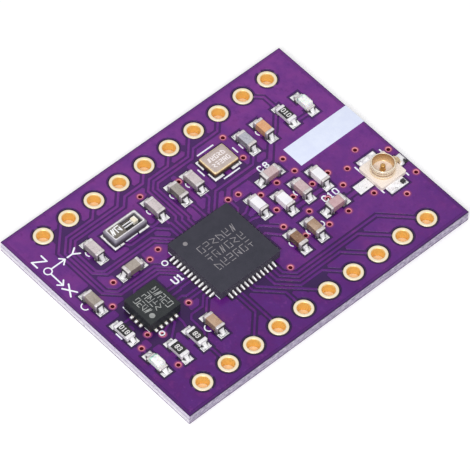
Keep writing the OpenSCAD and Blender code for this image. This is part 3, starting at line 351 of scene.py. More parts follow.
def laminate():
    """Glass fibres that run along the cut edges, with resin between them; a painted highlight pales one end,
    painted shade darkens one side, and the top face is painted dark as painted shade.
    """
    f = Finish("laminate", IOR=1.5)
    fibre = f.noise((1.2, 1.2, 26))
    strands = f.noise((5, 5, 9), 3, 0.65)
    torn = f.noise((3, 3, 16), 3, 0.7)
    bundles = f.noise((2.4, 2.4, 6), 4, 0.7)
    colour = f.ramp(fibre, (0.36, (168, 158, 186)), (0.5, (206, 198, 216)), (0.64, (236, 232, 240)))
    colour = f.lay(colour, (138, 124, 160), strands, (0.36, 0.7), (0.5, 0))
    colour = f.lay(colour, (250, 248, 252), torn, (0.58, 0), (0.68, 0.8))
    colour = f.lay(colour, (112, 96, 132), torn, (0.3, 0.6), (0.38, 0))
    low = f.op("ADD", f.axis(2), f.swing(bundles, 0.5))
    # painted highlight: one end glares near white, most on its lower half
    painted_glare = f.ramp(low, (0.22, (250, 248, 253)), (0.44, (236, 230, 240)), (0.51, (176, 166, 190)),
                      (0.6, (214, 206, 226)), (0.78, (224, 214, 236)))
    end = f.ramp(f.op("DIVIDE", f.axis(1), -BOARD[1] / 2), (0.994, 0), (0.998, 1))
    colour = f.mix(f.op("MULTIPLY", end, 0.68), colour, painted_glare)
    colour = f.lay(colour, (120, 110, 136), bundles, (0.36, 0.55), (0.44, 0))
    colour = f.lay(colour, (250, 248, 252), bundles, (0.6, 0), (0.68, 0.5))
    # painted shade: one long side takes darker tones
    flank = f.ramp(bundles, (0.38, (104, 92, 124)), (0.5, (142, 128, 160)), (0.62, (186, 176, 196)))
    colour = f.lay(colour, flank, f.op("DIVIDE", f.axis(0), BOARD[0] / 2 + 0.01), (0.994, 0), (0.998, 0.7))
    # painted shade: the top face, seen where the mask and copper leave gaps, is painted near black
    face = f.ramp(f.axis(2), (LAMINATE_TOP - 0.01, 0), (LAMINATE_TOP - 0.003, 1))
    face = f.op("MULTIPLY", f.facing_up(), face)
    f.paint(f.mix(face, colour, f.ramp(strands, (0.4, (26, 14, 30)), (0.6, (44, 26, 48)))))
    f.gloss(fibre, 0.5, 0.7)
    f.bump(f.mix(0.5, fibre, torn), 0.05)


def crystal_lid():
    """Brushed metal."""
    f = Finish("crystal_lid", Metallic=0.5)
    brush = f.noise((34, 2.2, 20), 4)
    f.paint(f.ramp(brush, (0.32, (196, 178, 172)), (0.68, (226, 210, 202))))
    f.gloss(brush, 0.34, 0.5)
    f.bump(brush, 0.004)


def watch_glass():
    """Clear, with a slight haze."""
    f = Finish("watch_glass", IOR=1.45, Alpha=0.015)
    haze = f.noise(3, 3, 0.55)
    f.paint(f.ramp(haze, (0.3, (190, 188, 176)), (0.7, (226, 224, 214))))
    f.gloss(haze, 0.02, 0.1)


def led_lens():
    """Milky resin; one end of each lens shows its green die."""
    f = Finish("led_lens", IOR=1.5, Subsurface_Weight=0.15, Subsurface_Scale=0.0002)
    haze = f.noise(3.4)
    mottle = f.noise(5, 3, 0.65)
    colour = f.ramp(haze, (0.34, (236, 242, 240)), (0.55, (255, 255, 252)))
    colour = f.lay(colour, (176, 184, 186), mottle, (0.34, 0.6), (0.44, 0))
    # from -6 mm to 6 mm on X as 0 to 1: one stretch for each light
    green = f.ramp(mottle, (0.36, (70, 110, 96)), (0.5, (150, 212, 196)), (0.62, (226, 246, 240)))
    f.paint(f.lay(colour, green, f.op("MULTIPLY_ADD", f.axis(0), 1 / 12, 0.5), (0.03, 1), (0.042, 0),
                  (0.905, 0), (0.912, 1), (0.924, 1), (0.934, 0)))
    f.gloss(haze, 0.1, 0.24)
    f.bump(f.noise(6, 2, 0.5), 0.012)


for finish in (solder_mask, solder_lumps, socket_gold, watch_ceramic, laminate, crystal_lid, watch_glass,
               led_lens):
    finish()
# name, two tones, roughness from and to, grain and its depth, how metallic, then the tone of the dark specks
# of painted reflection, the tone of dusk, a painted reflection, and how patchy that is
for row in (
        # the bare pads' grey tin, made darker still as painted shade
        ("tinned_copper", (92, 80, 94), (132, 120, 132), (0.3, 0.45), 30, 0.004, 0.3),
        ("gold", (255, 236, 202), (255, 243, 216), (0.3, 0.42), 24, 0.003, 0.3),
        ("barrel_gold", (246, 200, 104), (255, 218, 126), (0.34, 0.46), 16, 0.006, 0.3),
        ("lip_gold", (250, 212, 140), (255, 226, 164), (0.26, 0.4), 16, 0.006, 0.4),
        ("pin_gold", (204, 152, 84), (232, 186, 116), (0.2, 0.3), 12, 0.004, 0.6),
        ("tin", (204, 195, 194), (255, 250, 251), (0.26, 0.46), 8, 0.02, 0.45, (142, 132, 134), (84, 78, 84)),
        ("bright_tin", (238, 234, 240), (255, 255, 255), (0.2, 0.36), 9, 0.02, 0.25, (150, 144, 152)),
        ("solder", (246, 243, 247), (255, 255, 255), (0.12, 0.26), 6, 0.03, 0.22, (150, 144, 150),
         (44, 40, 46), 1.1),
        ("lead_joint", (246, 244, 246), (255, 255, 255), (0.14, 0.3), 9, 0.012, 0.15, (180, 176, 180)),
        # the leads, painted dark grey as painted shade
        ("lead", (58, 50, 60), (96, 88, 98), (0.3, 0.45), 30, 0.004, 0.3),
        ("crystal_seal", (140, 106, 70), (170, 134, 92), (0.24, 0.36), 20, 0.004, 0.6),
        ("lid_edge", (240, 212, 160), (255, 236, 196), (0.24, 0.36), 20, 0.004, 0.25),
        ("watch_frame", (226, 222, 228), (255, 252, 255), (0.24, 0.4), 7, 0.012, 0.3, (150, 146, 152))):
    metal(*row)
# name, two tones, roughness from and to, grain and its depth, then the tones of the walls, lighter as painted
# light, and of specks
for row in (
        ("via_gold", (224, 132, 148), (240, 156, 162), (0.3, 0.44), 18, 0.004),
        ("via_hole", (96, 16, 38), (126, 26, 50), (0.4, 0.5), 18, 0.004),
        ("via_rim", (158, 74, 120), (176, 86, 128), (0.3, 0.4), 18, 0.004),
        ("via_halo", (112, 40, 112), (124, 46, 116), (0.3, 0.4), 18, 0.004),
        ("chip_plastic", (46, 46, 59), (55, 54, 67), (0.42, 0.6), 26, 0.008, ((66, 64, 76), (76, 74, 86))),
        ("sensor_plastic", (32, 36, 40), (42, 46, 48), (0.4, 0.6), 16, 0.01, None,
         ((84, 86, 88), (24, 26, 30))),
        ("laser_mark", (128, 124, 128), (156, 152, 156), (0.6, 0.8), 30, 0.006),
        ("pale_mark", (142, 144, 144), (176, 178, 176), (0.6, 0.8), 30, 0.006),
        ("lid_mark", (238, 228, 230), (252, 244, 244), (0.4, 0.6), 30, 0.006),
        ("mark_white", (240, 240, 248), (255, 255, 255), (0.4, 0.5), 20, 0.004),
        ("glaze", (34, 33, 36), (44, 43, 46), (0.26, 0.4), 20, 0.004),
        ("alumina", (214, 212, 212), (232, 230, 230), (0.4, 0.6), 26, 0.008),
        ("inductor_white", (238, 236, 244), (252, 250, 253), (0.3, 0.45), 20, 0.006,
         ((252, 248, 254), (255, 255, 255))),
        ("ink", (222, 229, 252), (230, 237, 255), (0.5, 0.7), 12, 0.004),
        ("white_ink", (240, 243, 255), (250, 252, 255), (0.5, 0.7), 12, 0.004),
        ("socket_plastic", (242, 228, 216), (250, 238, 228), (0.36, 0.5), 18, 0.006),
        ("crystal_ceramic", (48, 38, 36), (62, 50, 46), (0.4, 0.55), 20, 0.006),
        ("window_tint", (96, 90, 82), (130, 122, 112), (0.5, 0.7), 9, 0.006),
        ("crystal_pit", (10, 9, 10), (20, 18, 18), (0.6, 0.8), 14, 0.006),
        ("quartz", (238, 224, 190), (255, 255, 250), (0.2, 0.34), 7, 0.01),
        ("led_substrate", (226, 232, 226), (238, 242, 238), (0.4, 0.55), 18, 0.006)):
    plastic(*row)
# name, two tones, the worn edge and the flank, darker as painted shade
for row in (
        ("grey", (192, 180, 181), (214, 202, 203), (236, 227, 228), (148, 140, 140)),
        ("dark", (146, 139, 132), (168, 160, 154), (198, 192, 186), (100, 96, 90)),
        ("blue", (164, 164, 176), (186, 186, 196), (214, 214, 222), (118, 114, 118)),
        ("orange", (216, 154, 106), (232, 176, 128), (244, 214, 188), (182, 134, 100)),
        ("beige", (146, 136, 126), (170, 158, 148), (202, 194, 186), (142, 128, 120)),
        ("tan", (170, 134, 106), (192, 156, 128), (218, 198, 178), (142, 112, 96)),
        ("pink", (190, 164, 166), (212, 186, 188), (232, 216, 218), (176, 144, 146)),
        ("rose", (186, 144, 150), (204, 164, 168), (226, 200, 204), (180, 140, 148)),
        ("sand", (156, 124, 100), (184, 154, 130), (214, 194, 176), (126, 104, 94)),
        ("brown", (128, 92, 68), (154, 116, 90), (190, 164, 140), (88, 62, 46))):
    ceramic("capacitor_" + row[0], *row[1:])


# ---- shapes

class Soup:
    """Gathers the faces of one piece, then makes the piece."""

    def __init__(self):
        self.points, self.faces, self.kinds, self.shades = [], [], [], []

    def loft(self, rings, kind=0, at=None, ends=(True, True), loop=True, shade=None):
        """Walls from ring to ring; kind picks the finish, and ends says which ends are closed."""
        base, n = len(self.points), len(rings[0])
        points = [Vector(p) for ring in rings for p in ring]
        self.points += [at @ p if at else p for p in points]
        self.shades += shade or [0.0] * len(points)
        faces = []
        for j in range(len(rings) - 1):
            for i in range(n if loop else n - 1):
                k = (i + 1) % n
                faces.append([j * n + i, j * n + k, (j + 1) * n + k, (j + 1) * n + i])
        if ends[0]:
            faces.append(list(range(n))[::-1])
        if ends[1]:
            faces.append([(len(rings) - 1) * n + i for i in range(n)])
        self.faces += [[base + i for i in face] for face in faces]
        self.kinds += [kind] * len(faces)

    def lathe(self, profile, n, kind=0, at=None):
        """profile is (radius, height) from the bottom outside round to where it ends."""
        self.loft([[(r * cos(2 * pi * i / n), r * sin(2 * pi * i / n), z) for i in range(n)]
                   for r, z in profile], kind, at, (False, False))

    def build(self, name, finishes, *replaces, slot=None, sharp=38):
        """The piece; the slot argument is not used."""
        mesh = bpy.data.meshes.new(name)
        mesh.from_pydata([p * MM for p in self.points], [], self.faces)
        finishes = finishes.split()
        for finish in finishes:
            mesh.materials.append(F[finish].mat)
        mesh.polygons.foreach_set("material_index", self.kinds)
        if any(self.shades):
            mesh.attributes.new("shade", "FLOAT", "POINT").data.foreach_set("value", self.shades)
        mesh.polygons.foreach_set("use_smooth", [True] * len(self.faces))
        bm = bmesh.new()
        bm.from_mesh(mesh)
        bmesh.ops.recalc_face_normals(bm, faces=bm.faces)
        for e in bm.edges:
            e.smooth = len(e.link_faces) == 2 and e.calc_face_angle(0) < radians(sharp)
        bm.to_mesh(mesh)
        bm.free()
        obj = bpy.data.objects.new(name, mesh)
        scene.collection.objects.link(obj)
        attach(obj, "root")
        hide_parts(*replaces)


def field(x, y, z):
    """A soft random field, about from -1 to 1."""
    return noise.noise(Vector((x, y, z)))


def shift(x, y, z=0):
    return Matrix.Translation((x, y, z))


def spin(turn):
    return Matrix.Rotation(radians(turn), 4, "Z")


def place(p, z=SEAT_Z, turn=None):
    turn = (p[2] if len(p) > 2 else 0) if turn is None else turn
    return shift(p[0], p[1], z) @ spin(turn)


def outline(w, l, r, n=4):
    """A rounded rectangle about the middle, w along X and l along Y."""
    r = max(min(r, w / 2 - 0.001, l / 2 - 0.001), 0.003)
    x, y = w / 2 - r, l / 2 - r
    out = []
    for cx, cy, a in ((x, y, 0), (-x, y, 90), (-x, -y, 180), (x, -y, 270)):
        for i in range(n + 1):
            t = radians(a + 90 * i / n)
            out.append((cx + r * cos(t), cy + r * sin(t)))
    return out


def tiers(w, l, steps, corner):
    """Outlines of one block, drawn in and raised as the steps say; corner gives each its radius."""
    return [[(x, y, z) for x, y in outline(w - 2 * inset, l - 2 * inset, corner(inset), 5)]
            for inset, z in steps]


def slab(soup, w, l, z0, z1, r, edge, kind=0, at=None, n=4, wave=0, seed=0):
    """A plate with a rounded upper edge; wave makes its sides uneven."""
    steps = [(0, z0)]
    for i in range(5):
        t = radians(90 * i / 4)
        steps.append((edge * (1 - cos(t)), z1 - edge + edge * sin(t)))
    rings = []
    for inset, z in steps:
        ring = []
        for x, y in outline(w - 2 * inset, l - 2 * inset, r - inset, n):
            k = 1 + wave * field(x * 1.7 + seed, y * 1.7, z)
            ring.append((x * k, y * k, z))
        rings.append(ring)
    soup.loft(rings, kind, at)


def frame_ring(soup, w, l, z0, z1, wall, r, edge, at):
    """A flat frame with rounded upper edges."""
    steps = ((0, z0), (0, z1 - edge), (edge * 0.3, z1 - edge * 0.3), (edge, z1), (wall - edge, z1),
             (wall - edge * 0.3, z1 - edge * 0.3), (wall, z1 - edge), (wall, z0))
    soup.loft(tiers(w, l, steps, lambda inset: max(r - inset, 0.04)), 0, at, (False, False))


def strokes(soup, lines, width, z, kind=0, at=None, thick=0.004):
    """Pen lines with round ends, laid flat at height z."""
    for k, ((ax, ay), (bx, by)) in enumerate(lines):
        # tops differ a little, so that crossing lines don't share a plane
        top = z + thick + 0.00035 * (k % 9)
        a = atan2(by - ay, bx - ax)
        pts = []
        for cx, cy, start in ((bx, by, a - pi / 2), (ax, ay, a + pi / 2)):
            for i in range(7):
                t = start + pi * i / 6
                pts.append((cx + width / 2 * cos(t), cy + width / 2 * sin(t)))
        soup.loft([[(x, y, z) for x, y in pts], [(x, y, top) for x, y in pts]], kind, at)


# A small pen alphabet on a grid 4 wide and 6 high; a to h are made-up marks, which are no letters
PEN = {
    "0": [[(0, 1), (1, 0), (3, 0), (4, 1), (4, 5), (3, 6), (1, 6), (0, 5), (0, 1)]],
    "1": [[(1, 5), (2, 6), (2, 0)], [(1, 0), (3, 0)]],
    "3": [[(0, 5), (1, 6), (3, 6), (4, 5), (4, 4), (3, 3), (1.5, 3)],
          [(3, 3), (4, 2), (4, 1), (3, 0), (1, 0), (0, 1)]],
    "8": [[(1, 3), (0, 4), (0, 5), (1, 6), (3, 6), (4, 5), (4, 4), (3, 3), (1, 3), (0, 2), (0, 1), (1, 0),
           (3, 0), (4, 1), (4, 2), (3, 3)]],
    "C": [[(4, 5), (3, 6), (1, 6), (0, 5), (0, 1), (1, 0), (3, 0), (4, 1)]],
    "U": [[(0, 6), (0, 1), (1, 0), (3, 0), (4, 1), (4, 6)]],
    "X": [[(0, 0), (4, 6)], [(0, 6), (4, 0)]],
    "Y": [[(0, 6), (2, 3), (4, 6)], [(2, 3), (2, 0)]],
    "Z": [[(0, 6), (4, 6), (0, 0), (4, 0)]],
    "a": [[(0, 0), (0, 6), (4, 6)], [(1.6, 0), (4, 0), (4, 3.6)]],
    "b": [[(0, 6), (0, 0), (4, 0)], [(4, 6), (4, 3), (1.6, 3)]],
    "c": [[(4, 6), (0, 6), (0, 0)], [(4, 4), (4, 0), (2, 3)]],
    "d": [[(0, 6), (4, 4.4), (0, 2), (4, 0)]],
    "e": [[(0, 0), (2, 6), (2, 0), (4, 6)]],
    "f": [[(0, 3), (4, 3)], [(0, 6), (4, 6)], [(2, 3), (2, 0)]],
    "g": [[(0, 6), (4, 6), (4, 3), (0, 3)], [(4, 0), (0, 0)]],
    "h": [[(0, 1.4), (0, 6), (4, 3.4), (4, 0)], [(0, 0), (2, 0)]]}


def write(text, at, turn, height, width=0, pitch=0):
    """Pen lines of a text that starts there and reads along X before its turn."""
    m = shift(*at) @ spin(turn)
    width, pitch = width or height * 0.67, pitch or height * 0.93
    out = []
    for i, c in enumerate(text):
        for line in PEN[c]:
            pts = [m @ Vector((i * pitch + x / 4 * width, y / 6 * height, 0)) for x, y in line]
            out += [(tuple(a[:2]), tuple(b[:2])) for a, b in zip(pts, pts[1:])]
    return out


# ---- the board

for name, finish in {
        "board_laminate": "laminate", "copper_top": "tinned_copper", "copper_bottom": "tinned_copper",
        "solder_mask_top": "solder_mask", "solder_mask_bottom": "solder_mask", "silkscreen_top": "ink",
        "soc_leads": "lead", "soc_thermal_pad": "tin", "accelerometer_lands": "gold"}.items():
    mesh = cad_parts[name].data
    mesh.materials.clear()
    mesh.materials.append(F[finish].mat)

# plated holes, with the rounded lips that plating leaves
soup = Soup()
for x, y in HEADERS:
    for kind, profile in (
            (0, [(0.8, 0.03), (0.8, 0), (0.785, 0), (0.56, 0), (0.52, 0.012)]),
            (1, [(0.52, 0.012), (0.5, 0.05), (0.497, 0.3), (0.497, 0.7), (0.5, 0.9)]),
            (2, [(0.5, 0.9), (0.512, 0.945), (0.535, 0.972), (0.565, 0.986)]),
            (0, [(0.565, 0.986), (0.6, 0.991), (0.68, 0.993), (0.745, 0.988), (0.772, 0.975), (0.784, 0.955),
                 (0.786, 0.93)])):
        soup.lathe(profile, 48, kind, shift(x, y))
soup.build("plated_header_holes", "gold barrel_gold lip_gold", "header_pads")
soup = Soup()
for x, y in VIAS:
    for kind, profile in (
            (0, [(0.275, 0.03), (0.275, 0), (0.19, 0), (0.155, 0.03)]),
            (1, [(0.155, 0.03), (0.15, 0.5), (0.158, 0.95)]),
            (0, [(0.158, 0.95), (0.168, 0.982), (0.185, 0.998), (0.205, 1.003), (0.222, 1.004)]),
            (2, [(0.222, 1.004), (0.25, 1.003), (0.285, 1.0015)]), (3, [(0.285, 1.0015), (0.37, 1.0006)])):
        soup.lathe(profile, 28, kind, shift(x, y))
soup.build("plated_vias", "via_gold via_hole via_rim via_halo", "via_barrels")

# axis letters and reference numbers in white ink
soup = Soup()
INK = 0.015
marks = write("Z", (-7.55, -13.75), 0, 0.95) + write("Y", (-6.49, -11.42), 0, 0.98, 0.66)
marks += write("X", (-3.27, -13.62), 90, 0.98, 0.64) + write("U1", (1.0, -6.98), 90, 0.54)
strokes(soup, marks, 0.13, BOARD_TOP, thick=INK)
marks = write("C8", (-2.55, 4.94), 90, 0.5, 0.31, 0.58) + write("C10", (2.78, 6.7), 90, 0.54, 0.35, 0.54)
strokes(soup, marks, 0.11, BOARD_TOP, thick=INK)
# outlines beside the parts, then the axis arrows
strokes(soup, [((a, b), (c, d)) for a, b, c, d in (
    (-4.4, -7.07, -4.4, -6), (1.5, -13.34, 2.1, -13.34), (-6.87, 2.37, -6.87, 3.93),
    (-3.91, 2.43, -3.91, 3.97), (-5.83, 1.47, -5.13, 1.47), (-5.68, 4.9, -5.13, 4.9),
    (-5.6, 5.46, -5.15, 5.46), (-1.51, -5.38, -1.2, -5.38), (3.72, -5.38, 4.17, -5.38),
    (0.03, -11.33, 0.73, -11.33), (2.47, -11.33, 2.97, -11.33), (1.83, 10.63, 2.8, 10.63),
    (4.26, 10.63, 5.03, 10.63), (1.83, 13.2, 5.03, 13.2), (-6.15, -13, -6.15, -11.7),
    (-6.5, -11.97, -6.15, -11.66), (-5.83, -12.06, -6.15, -11.66), (-5.8, -13.35, -4.5, -13.35),
    (-4.75, -13.68, -4.43, -13.35), (-4.78, -13.02, -4.43, -13.35))],
        0.12, BOARD_TOP, thick=0.014)


def ink_arc(x, y, r, start, stop, width=0.1):
    """A band of ink along a circle, from one angle to another."""
    n = max(int((stop - start) / 7), 4)
    turns = [radians(start + (stop - start) * i / n) for i in range(n + 1)]
    inner, outer = r - width / 2, r + width / 2
    soup.loft([[(x + q * cos(t), y + q * sin(t), BOARD_TOP + z) for t in turns]
               for q, z in ((inner, 0), (inner, 0.013), (outer, 0.013), (outer, 0))],
              0, None, (False, False), loop=False)


# rings at the origin of the axes and at both chips' first pins, then the arcs beside capacitors
for x, y, r in ((-6.15, -13.35, 0.31), (-0.97, -6.29, 0.22), (3.67, -10.75, 0.19)):
    ink_arc(x, y, r, 0, 360)
for i, x, y, r, start, stop in (*[(i, -0.16, -0.26, 0.33, 222, 318) for i in (1, 2, 3, 4, 5, 10, 12, 13)],
                                (7, -0.18, -0.6, 0.33, 180, 360), (8, -0.1, -0.43, 0.32, 190, 350),
                                (12, -0.08, 0.73, 0.27, -40, 140)):
    ink_arc(CAPACITORS[i][0] + x, CAPACITORS[i][1] + y, r, start, stop)
slab(soup, 2.05, 6.545, 0, INK, 0.01, 0.004, 1, shift(-1.995, 10.9525, BOARD_TOP))
soup.build("printed_marks", "white_ink ink", "silkscreen_top", slot="ink")


# ---- chip parts and their joints

def joint_neck(u, seed):
    """How far along the joint u is, where its crest runs, and how wide it is there on each side."""
    t = min(max(u, 0) / (JOINT_RUN * (0.78 + 0.14 * sin(seed * 7.3))), 1)
    return t, 0.05 * sin(seed * 5.1) * t, JOINT_HALF * (0.86 - 0.42 * t ** 0.6)


def joint_shade(u, v, seed):
    """Painted reflections: dark flanks beside a bright crest, and a dark line just inside the rim of the pad;
    painted shade under the part.
    """
    t, crest, narrow = joint_neck(u, seed)
    q = abs(v - crest) / narrow
    flank = exp(-((q - 0.86) / 0.26) ** 2) * (1 - 0.75 * t)
    edge = min(JOINT_HALF - abs(v), JOINT_RUN - u)
    line = 0.8 * exp(-((edge - 0.075) / 0.03) ** 2) * (0.5 + 1.2 * field(u * 2.2 + seed, v * 2.2, 4))
    return max(flank if u > 0 else 0.8, min(max(line, 0), 0.9))


def joint_height(u, v, climb, seed):
    """Height of the solder over its pad: u outward from the part's end, v across."""
    edge = min(JOINT_HALF - abs(v), JOINT_RUN - u, 1.0)
    lip = 0.05 * (1 - exp(-max(edge, 0) / 0.03))
    ripple = 0.02 * field(u * 3.1 + seed, v * 3.1, seed)
    t, crest, narrow = joint_neck(u, seed)
    side = min(max((narrow - abs(v - crest)) / (0.34 * JOINT_HALF), 0), 1)
    side = side * side * (3 - 2 * side)
    hill = climb * (1 - t) ** 1.9 if u > 0 else climb
    belly = 0.07 * side * sin(pi * min(max(u / JOINT_RUN, 0), 1)) ** 1.2
    return lip + (hill * side + belly + ripple * side) * min(edge / 0.08, 1)


def joint(at, climb, seed):
    """A pad's solder beyond the end of a part, as a relief."""
    nu, nv = 30, 26
    pad = PAD_Z - SEAT_Z
    rings, shade = [], []
    for i in range(nu + 1):
        u = -JOINT_BACK + (JOINT_RUN + JOINT_BACK) * i / nu
        row = [(u, -JOINT_HALF, pad - 0.005)]
        shade.append(0.3)
        for j in range(nv + 1):
            v = JOINT_HALF * sin(pi / 2 * (2 * j / nv - 1))
            row.append((u, v, pad + joint_height(u, v, climb, seed)))
            shade.append(joint_shade(u, v, seed))
        row.append((u, JOINT_HALF, pad - 0.005))
        shade.append(0.3)
        rings.append(row)
    joints.loft(rings, 0, at, loop=False, shade=shade)


def section(h, r, inset):
    """Rounded rectangle across a chip part, drawn in by the inset on every side."""
    return [(y, z + h / 2) for y, z in outline(CHIP_W - 2 * inset, h - 2 * inset, r, 5)]


def cap(soup, side, h, rim, at, seed):
    """The metal on one end of a chip part, with an uneven rim."""
    rings, shade = [], []
    # distance from the part's end, inset, and how dusky it is there, as painted reflection; painted shade also
    # darkens the lower walls
    for k, (x, inset, dusk) in enumerate((
            (rim, 0.017, 0.7), (rim - 0.015, 0.004, 0.25), (rim - 0.06, 0, 0), (0.16, -0.006, 0.08),
            (0.09, -0.004, 0), (0.055, 0.006, 0), (0.028, 0.022, 0.25), (0.008, 0.05, 0.6),
            (0, 0.085, 0.8))):
        ring = []
        for y, z in section(h, 0.085 - inset * 0.4, inset):
            wob = (0.035 * field(y * 2.6 + seed, z * 2.6, side * 3) if k < 3
                   else 0.006 * field(y * 4, z * 4, seed + k))
            ring.append((side * (CHIP_L / 2 - x - wob), y, z))
            shade.append(max(dusk, 0.62 * min(max((h - 0.04 - z) / 0.12, 0), 1)))
        rings.append(ring)
    soup.loft(rings, 0, at, (False, True), shade=shade)


def core(soup, p, h, r, seed, sag=0):
    """Body of a chip part between its caps, a little swollen in the middle."""
    rings = []
    for i in range(9):
        t = i / 8
        x = (t - 0.5) * CORE_L
        inset = 0.018 - sag * 0.6 * sin(pi * t)
        ring = []
        for y, z in section(h, r, inset):
            k = 0.006 * field(x * 3 + seed, y * 3, z * 3)
            ring.append((x, y * (1 + k), z * (1 + k)))
        rings.append(ring)
    soup.loft(rings, 0, place(p))


def chip_end(kind, p, side, h, rim, seed, climb, joint_seed):
    """One end of a chip part with its joint, both into the soups of all such ends."""
    cap(caps[kind], side, h, rim, place(p), seed)
    joint(place(p) @ spin(0 if side > 0 else 180) @ shift(CHIP_L / 2, 0), climb, joint_seed)


def chip_part(kind, i, p, body, finish, h, rim, seed, core_seed, r=0.07, sag=0.012, slot=None):
    """A capacitor, inductor or resistor, whose core is a piece of its own."""
    for side in (-1, 1):
        chip_end(kind, p, side, h, rim, seed, h * dice.uniform(0.5, 0.72), seed + side * 0.31)
    soup = Soup()
    core(soup, p, h, r, core_seed, sag)
    soup.build("%s_of_%s_%d" % (body, kind, i + 1), finish, "%s_%d" % (kind, i + 1), slot=slot)


dice = random.Random(7)
caps = {"capacitor": Soup(), "inductor": Soup(), "resistor": Soup(), "light": Soup()}
joints = Soup()
tones = "blue orange grey dark grey grey beige beige tan pink pink rose sand brown".split()
# tones whose pieces pass another tone's name as their slot
shared = {"dark": "grey", "rose": "pink", "sand": "brown"}
for i, (p, hue) in enumerate(zip(CAPACITORS, tones)):
    chip_part("capacitor", i, p, "ceramic", "capacitor_" + hue, BLOCK_H, 0.3 + dice.uniform(-0.03, 0.03),
              1.7 * i, 2.3 * i, slot="capacitor_" + shared.get(hue, hue))
for i, p in enumerate(INDUCTORS):
    chip_part("inductor", i, p, "ceramic", "inductor_white", BLOCK_H, 0.26, 31 + 1.9 * i, 40 + 2.3 * i)
glaze = Soup()
for i, (p, code) in enumerate(zip(RESISTORS, ("010", "018", "83", "83"))):
    chip_part("resistor", i, p, "substrate", "alumina", RESISTOR_H, 0.3, 53 + 1.3 * i, 60 + i, 0.03, 0)
    slab(glaze, 1.04, 0.78, 0.42, 0.452, 0.05, 0.02, 0, place(p), wave=0.03, seed=i)
    text = write(code, (-0.155 * len(code) + 0.055, -0.18), 0, 0.36, 0.2, 0.31)
    strokes(glaze, text, 0.075, 0.45, 1, place(p))
glaze.build("resistor_glaze_and_codes", "glaze alumina", "resistor_glaze")
led = Soup()
for i, p in enumerate(LIGHTS):
    for side in (-1, 1):
        chip_end("light", p, side, LIGHT_H, 0.25, 70 + i, 0.2, 77 + i + side * 0.3)
    # the lens: a milky block with drafted ends
    soup = Soup()
    soup.loft([[(x, y, z) for x, y in outline(2 * half_l, 2 * half_w, 0.06)] for half_l, half_w, z in (
        (0.565, 0.37, 0.24), (0.555, 0.37, 0.3), (0.5, 0.37, 0.5), (0.47, 0.3, 0.555), (0.42, 0.28, 0.585),
        (0.3, 0.26, 0.59))], 0, place(p))
    soup.build("lens_%d" % (i + 1), "led_lens", "led_lens_%d" % (i + 1))
    core(led, p, 0.26, 0.02, 80 + i)
led.build("light_substrates", "led_substrate", "led_substrates")
for kind, finish, node in (("capacitor", "tin", "capacitor_ends"), ("inductor", "tin", "inductor_ends"),
                           ("resistor", "bright_tin", "resistor_ends"), ("light", "tin", "led_ends")):
    caps[kind].build("plated_ends_of_%ss" % kind, finish, node, slot="tin")
joints.build("joints_of_chip_parts", "solder", "chip_solder", sharp=60)


# ---- the microcontroller and the sensor

def lead_joint(soup, at, half, run, climb, seed):
    """A narrow joint: a rounded loaf that climbs the lead's end."""
    rings = []
    nu, nv = 12, 10
    for i in range(nu + 1):
        u = run * i / nu
        t = u / run
        w = half * (1 if t < 0.75 else sqrt(max(1 - ((t - 0.75) / 0.25) ** 2 * 0.75, 0.1)))
        top = 0.05 + climb * (1 - t) ** 1.6 + 0.045 * sin(pi * t)
        top *= min(1, (1 - t) / 0.1 + 0.25)
        top *= 1 + 0.15 * field(u * 5 + seed, seed, 1)
        row = []
        for j in range(nv + 1):
            a = pi * j / nv
            row.append((u, -w * cos(a), top * sin(a) ** 0.7 if 0 < j < nv else 0))
        rings.append(row)
    soup.loft(rings, 0, at, loop=False)


soup = Soup()
for turn in (0, 90, 180, 270):
    for k in range(12):
        at = place(SOC, PAD_Z, turn) @ shift(3.0, (k - 5.5) * SOC_PITCH)
        lead_joint(soup, at, 0.07 if turn in (0, 180) else 0.084, 0.46, 0.15, 5.1 * k + turn)
soup.build("joints_of_microcontroller", "lead_joint", "lead_solder", slot="solder")
soup = Soup()
for turn, count in ((0, 5), (90, 3), (180, 5), (270, 3)):
    for k in range(count):
        at = place(SENSOR, PAD_Z, turn) @ shift(1.5, (k - (count - 1) / 2) * SENSOR_PITCH)
        lead_joint(soup, at, 0.108, 0.21, 0.05, 3.7 * k + turn)
soup.build("joints_of_sensor", "lead_joint", "land_solder", slot="solder")

soup = Soup()
slab(soup, SOC_W, SOC_W, 0, SOC_H, 0.06, 0.035, 0, place(SOC), n=5)
soup.lathe([(0.185, 0.8505), (0.18, 0.853), (0.13, 0.853), (0.12, 0.8512), (0.06, 0.8508), (0, 0.853)],
           28, 1, place(SOC) @ shift(-2.14, -1.97))
rows = []
for foot, text in ((-0.62, "agdhbe"), (0.35, "fceadb"), (1.33, "hbgcaf")):
    rows += write(text, (foot, -1.64), 90, 0.64, 0.38, 0.63)
strokes(soup, rows, 0.058, SOC_H + 0.0002, 1, place(SOC), 0.002)
soup.build("microcontroller", "chip_plastic laser_mark", "soc_body")

soup = Soup()
slab(soup, SENSOR_W, SENSOR_W, 0, SENSOR_H, 0.06, 0.03, 0, place(SENSOR), n=5)
soup.lathe([(0.23, 1.0005), (0.222, 1.0035), (0.17, 1.0035), (0.155, 1.001), (0.1, 1.0012), (0, 1.0035)],
           28, 1, place(SENSOR) @ shift(0.93, -0.86))
rows = write("ehga", (0.52, -0.52), 180, 0.56, 0.26, 0.4)
rows += write("dfcb", (0.8, 0.32), 180, 0.6, 0.32, 0.46)
rows += write("agbec", (1.12, 1.12), 180, 0.6, 0.28, 0.43)
strokes(soup, rows, 0.062, SENSOR_H + 0.0002, 1, place(SENSOR), 0.002)
soup.build("motion_sensor", "sensor_plastic pale_mark", "accelerometer_body")


# ---- the crystals

at = place(WATCH)
soup = Soup()
frame_ring(soup, WATCH_W, WATCH_L, 0, FRAME_FOOT, 0.22, 0.1, 0.015, at)
slab(soup, 1.1, 2.8, 0.1, 0.18, 0.06, 0.01, 1, at)
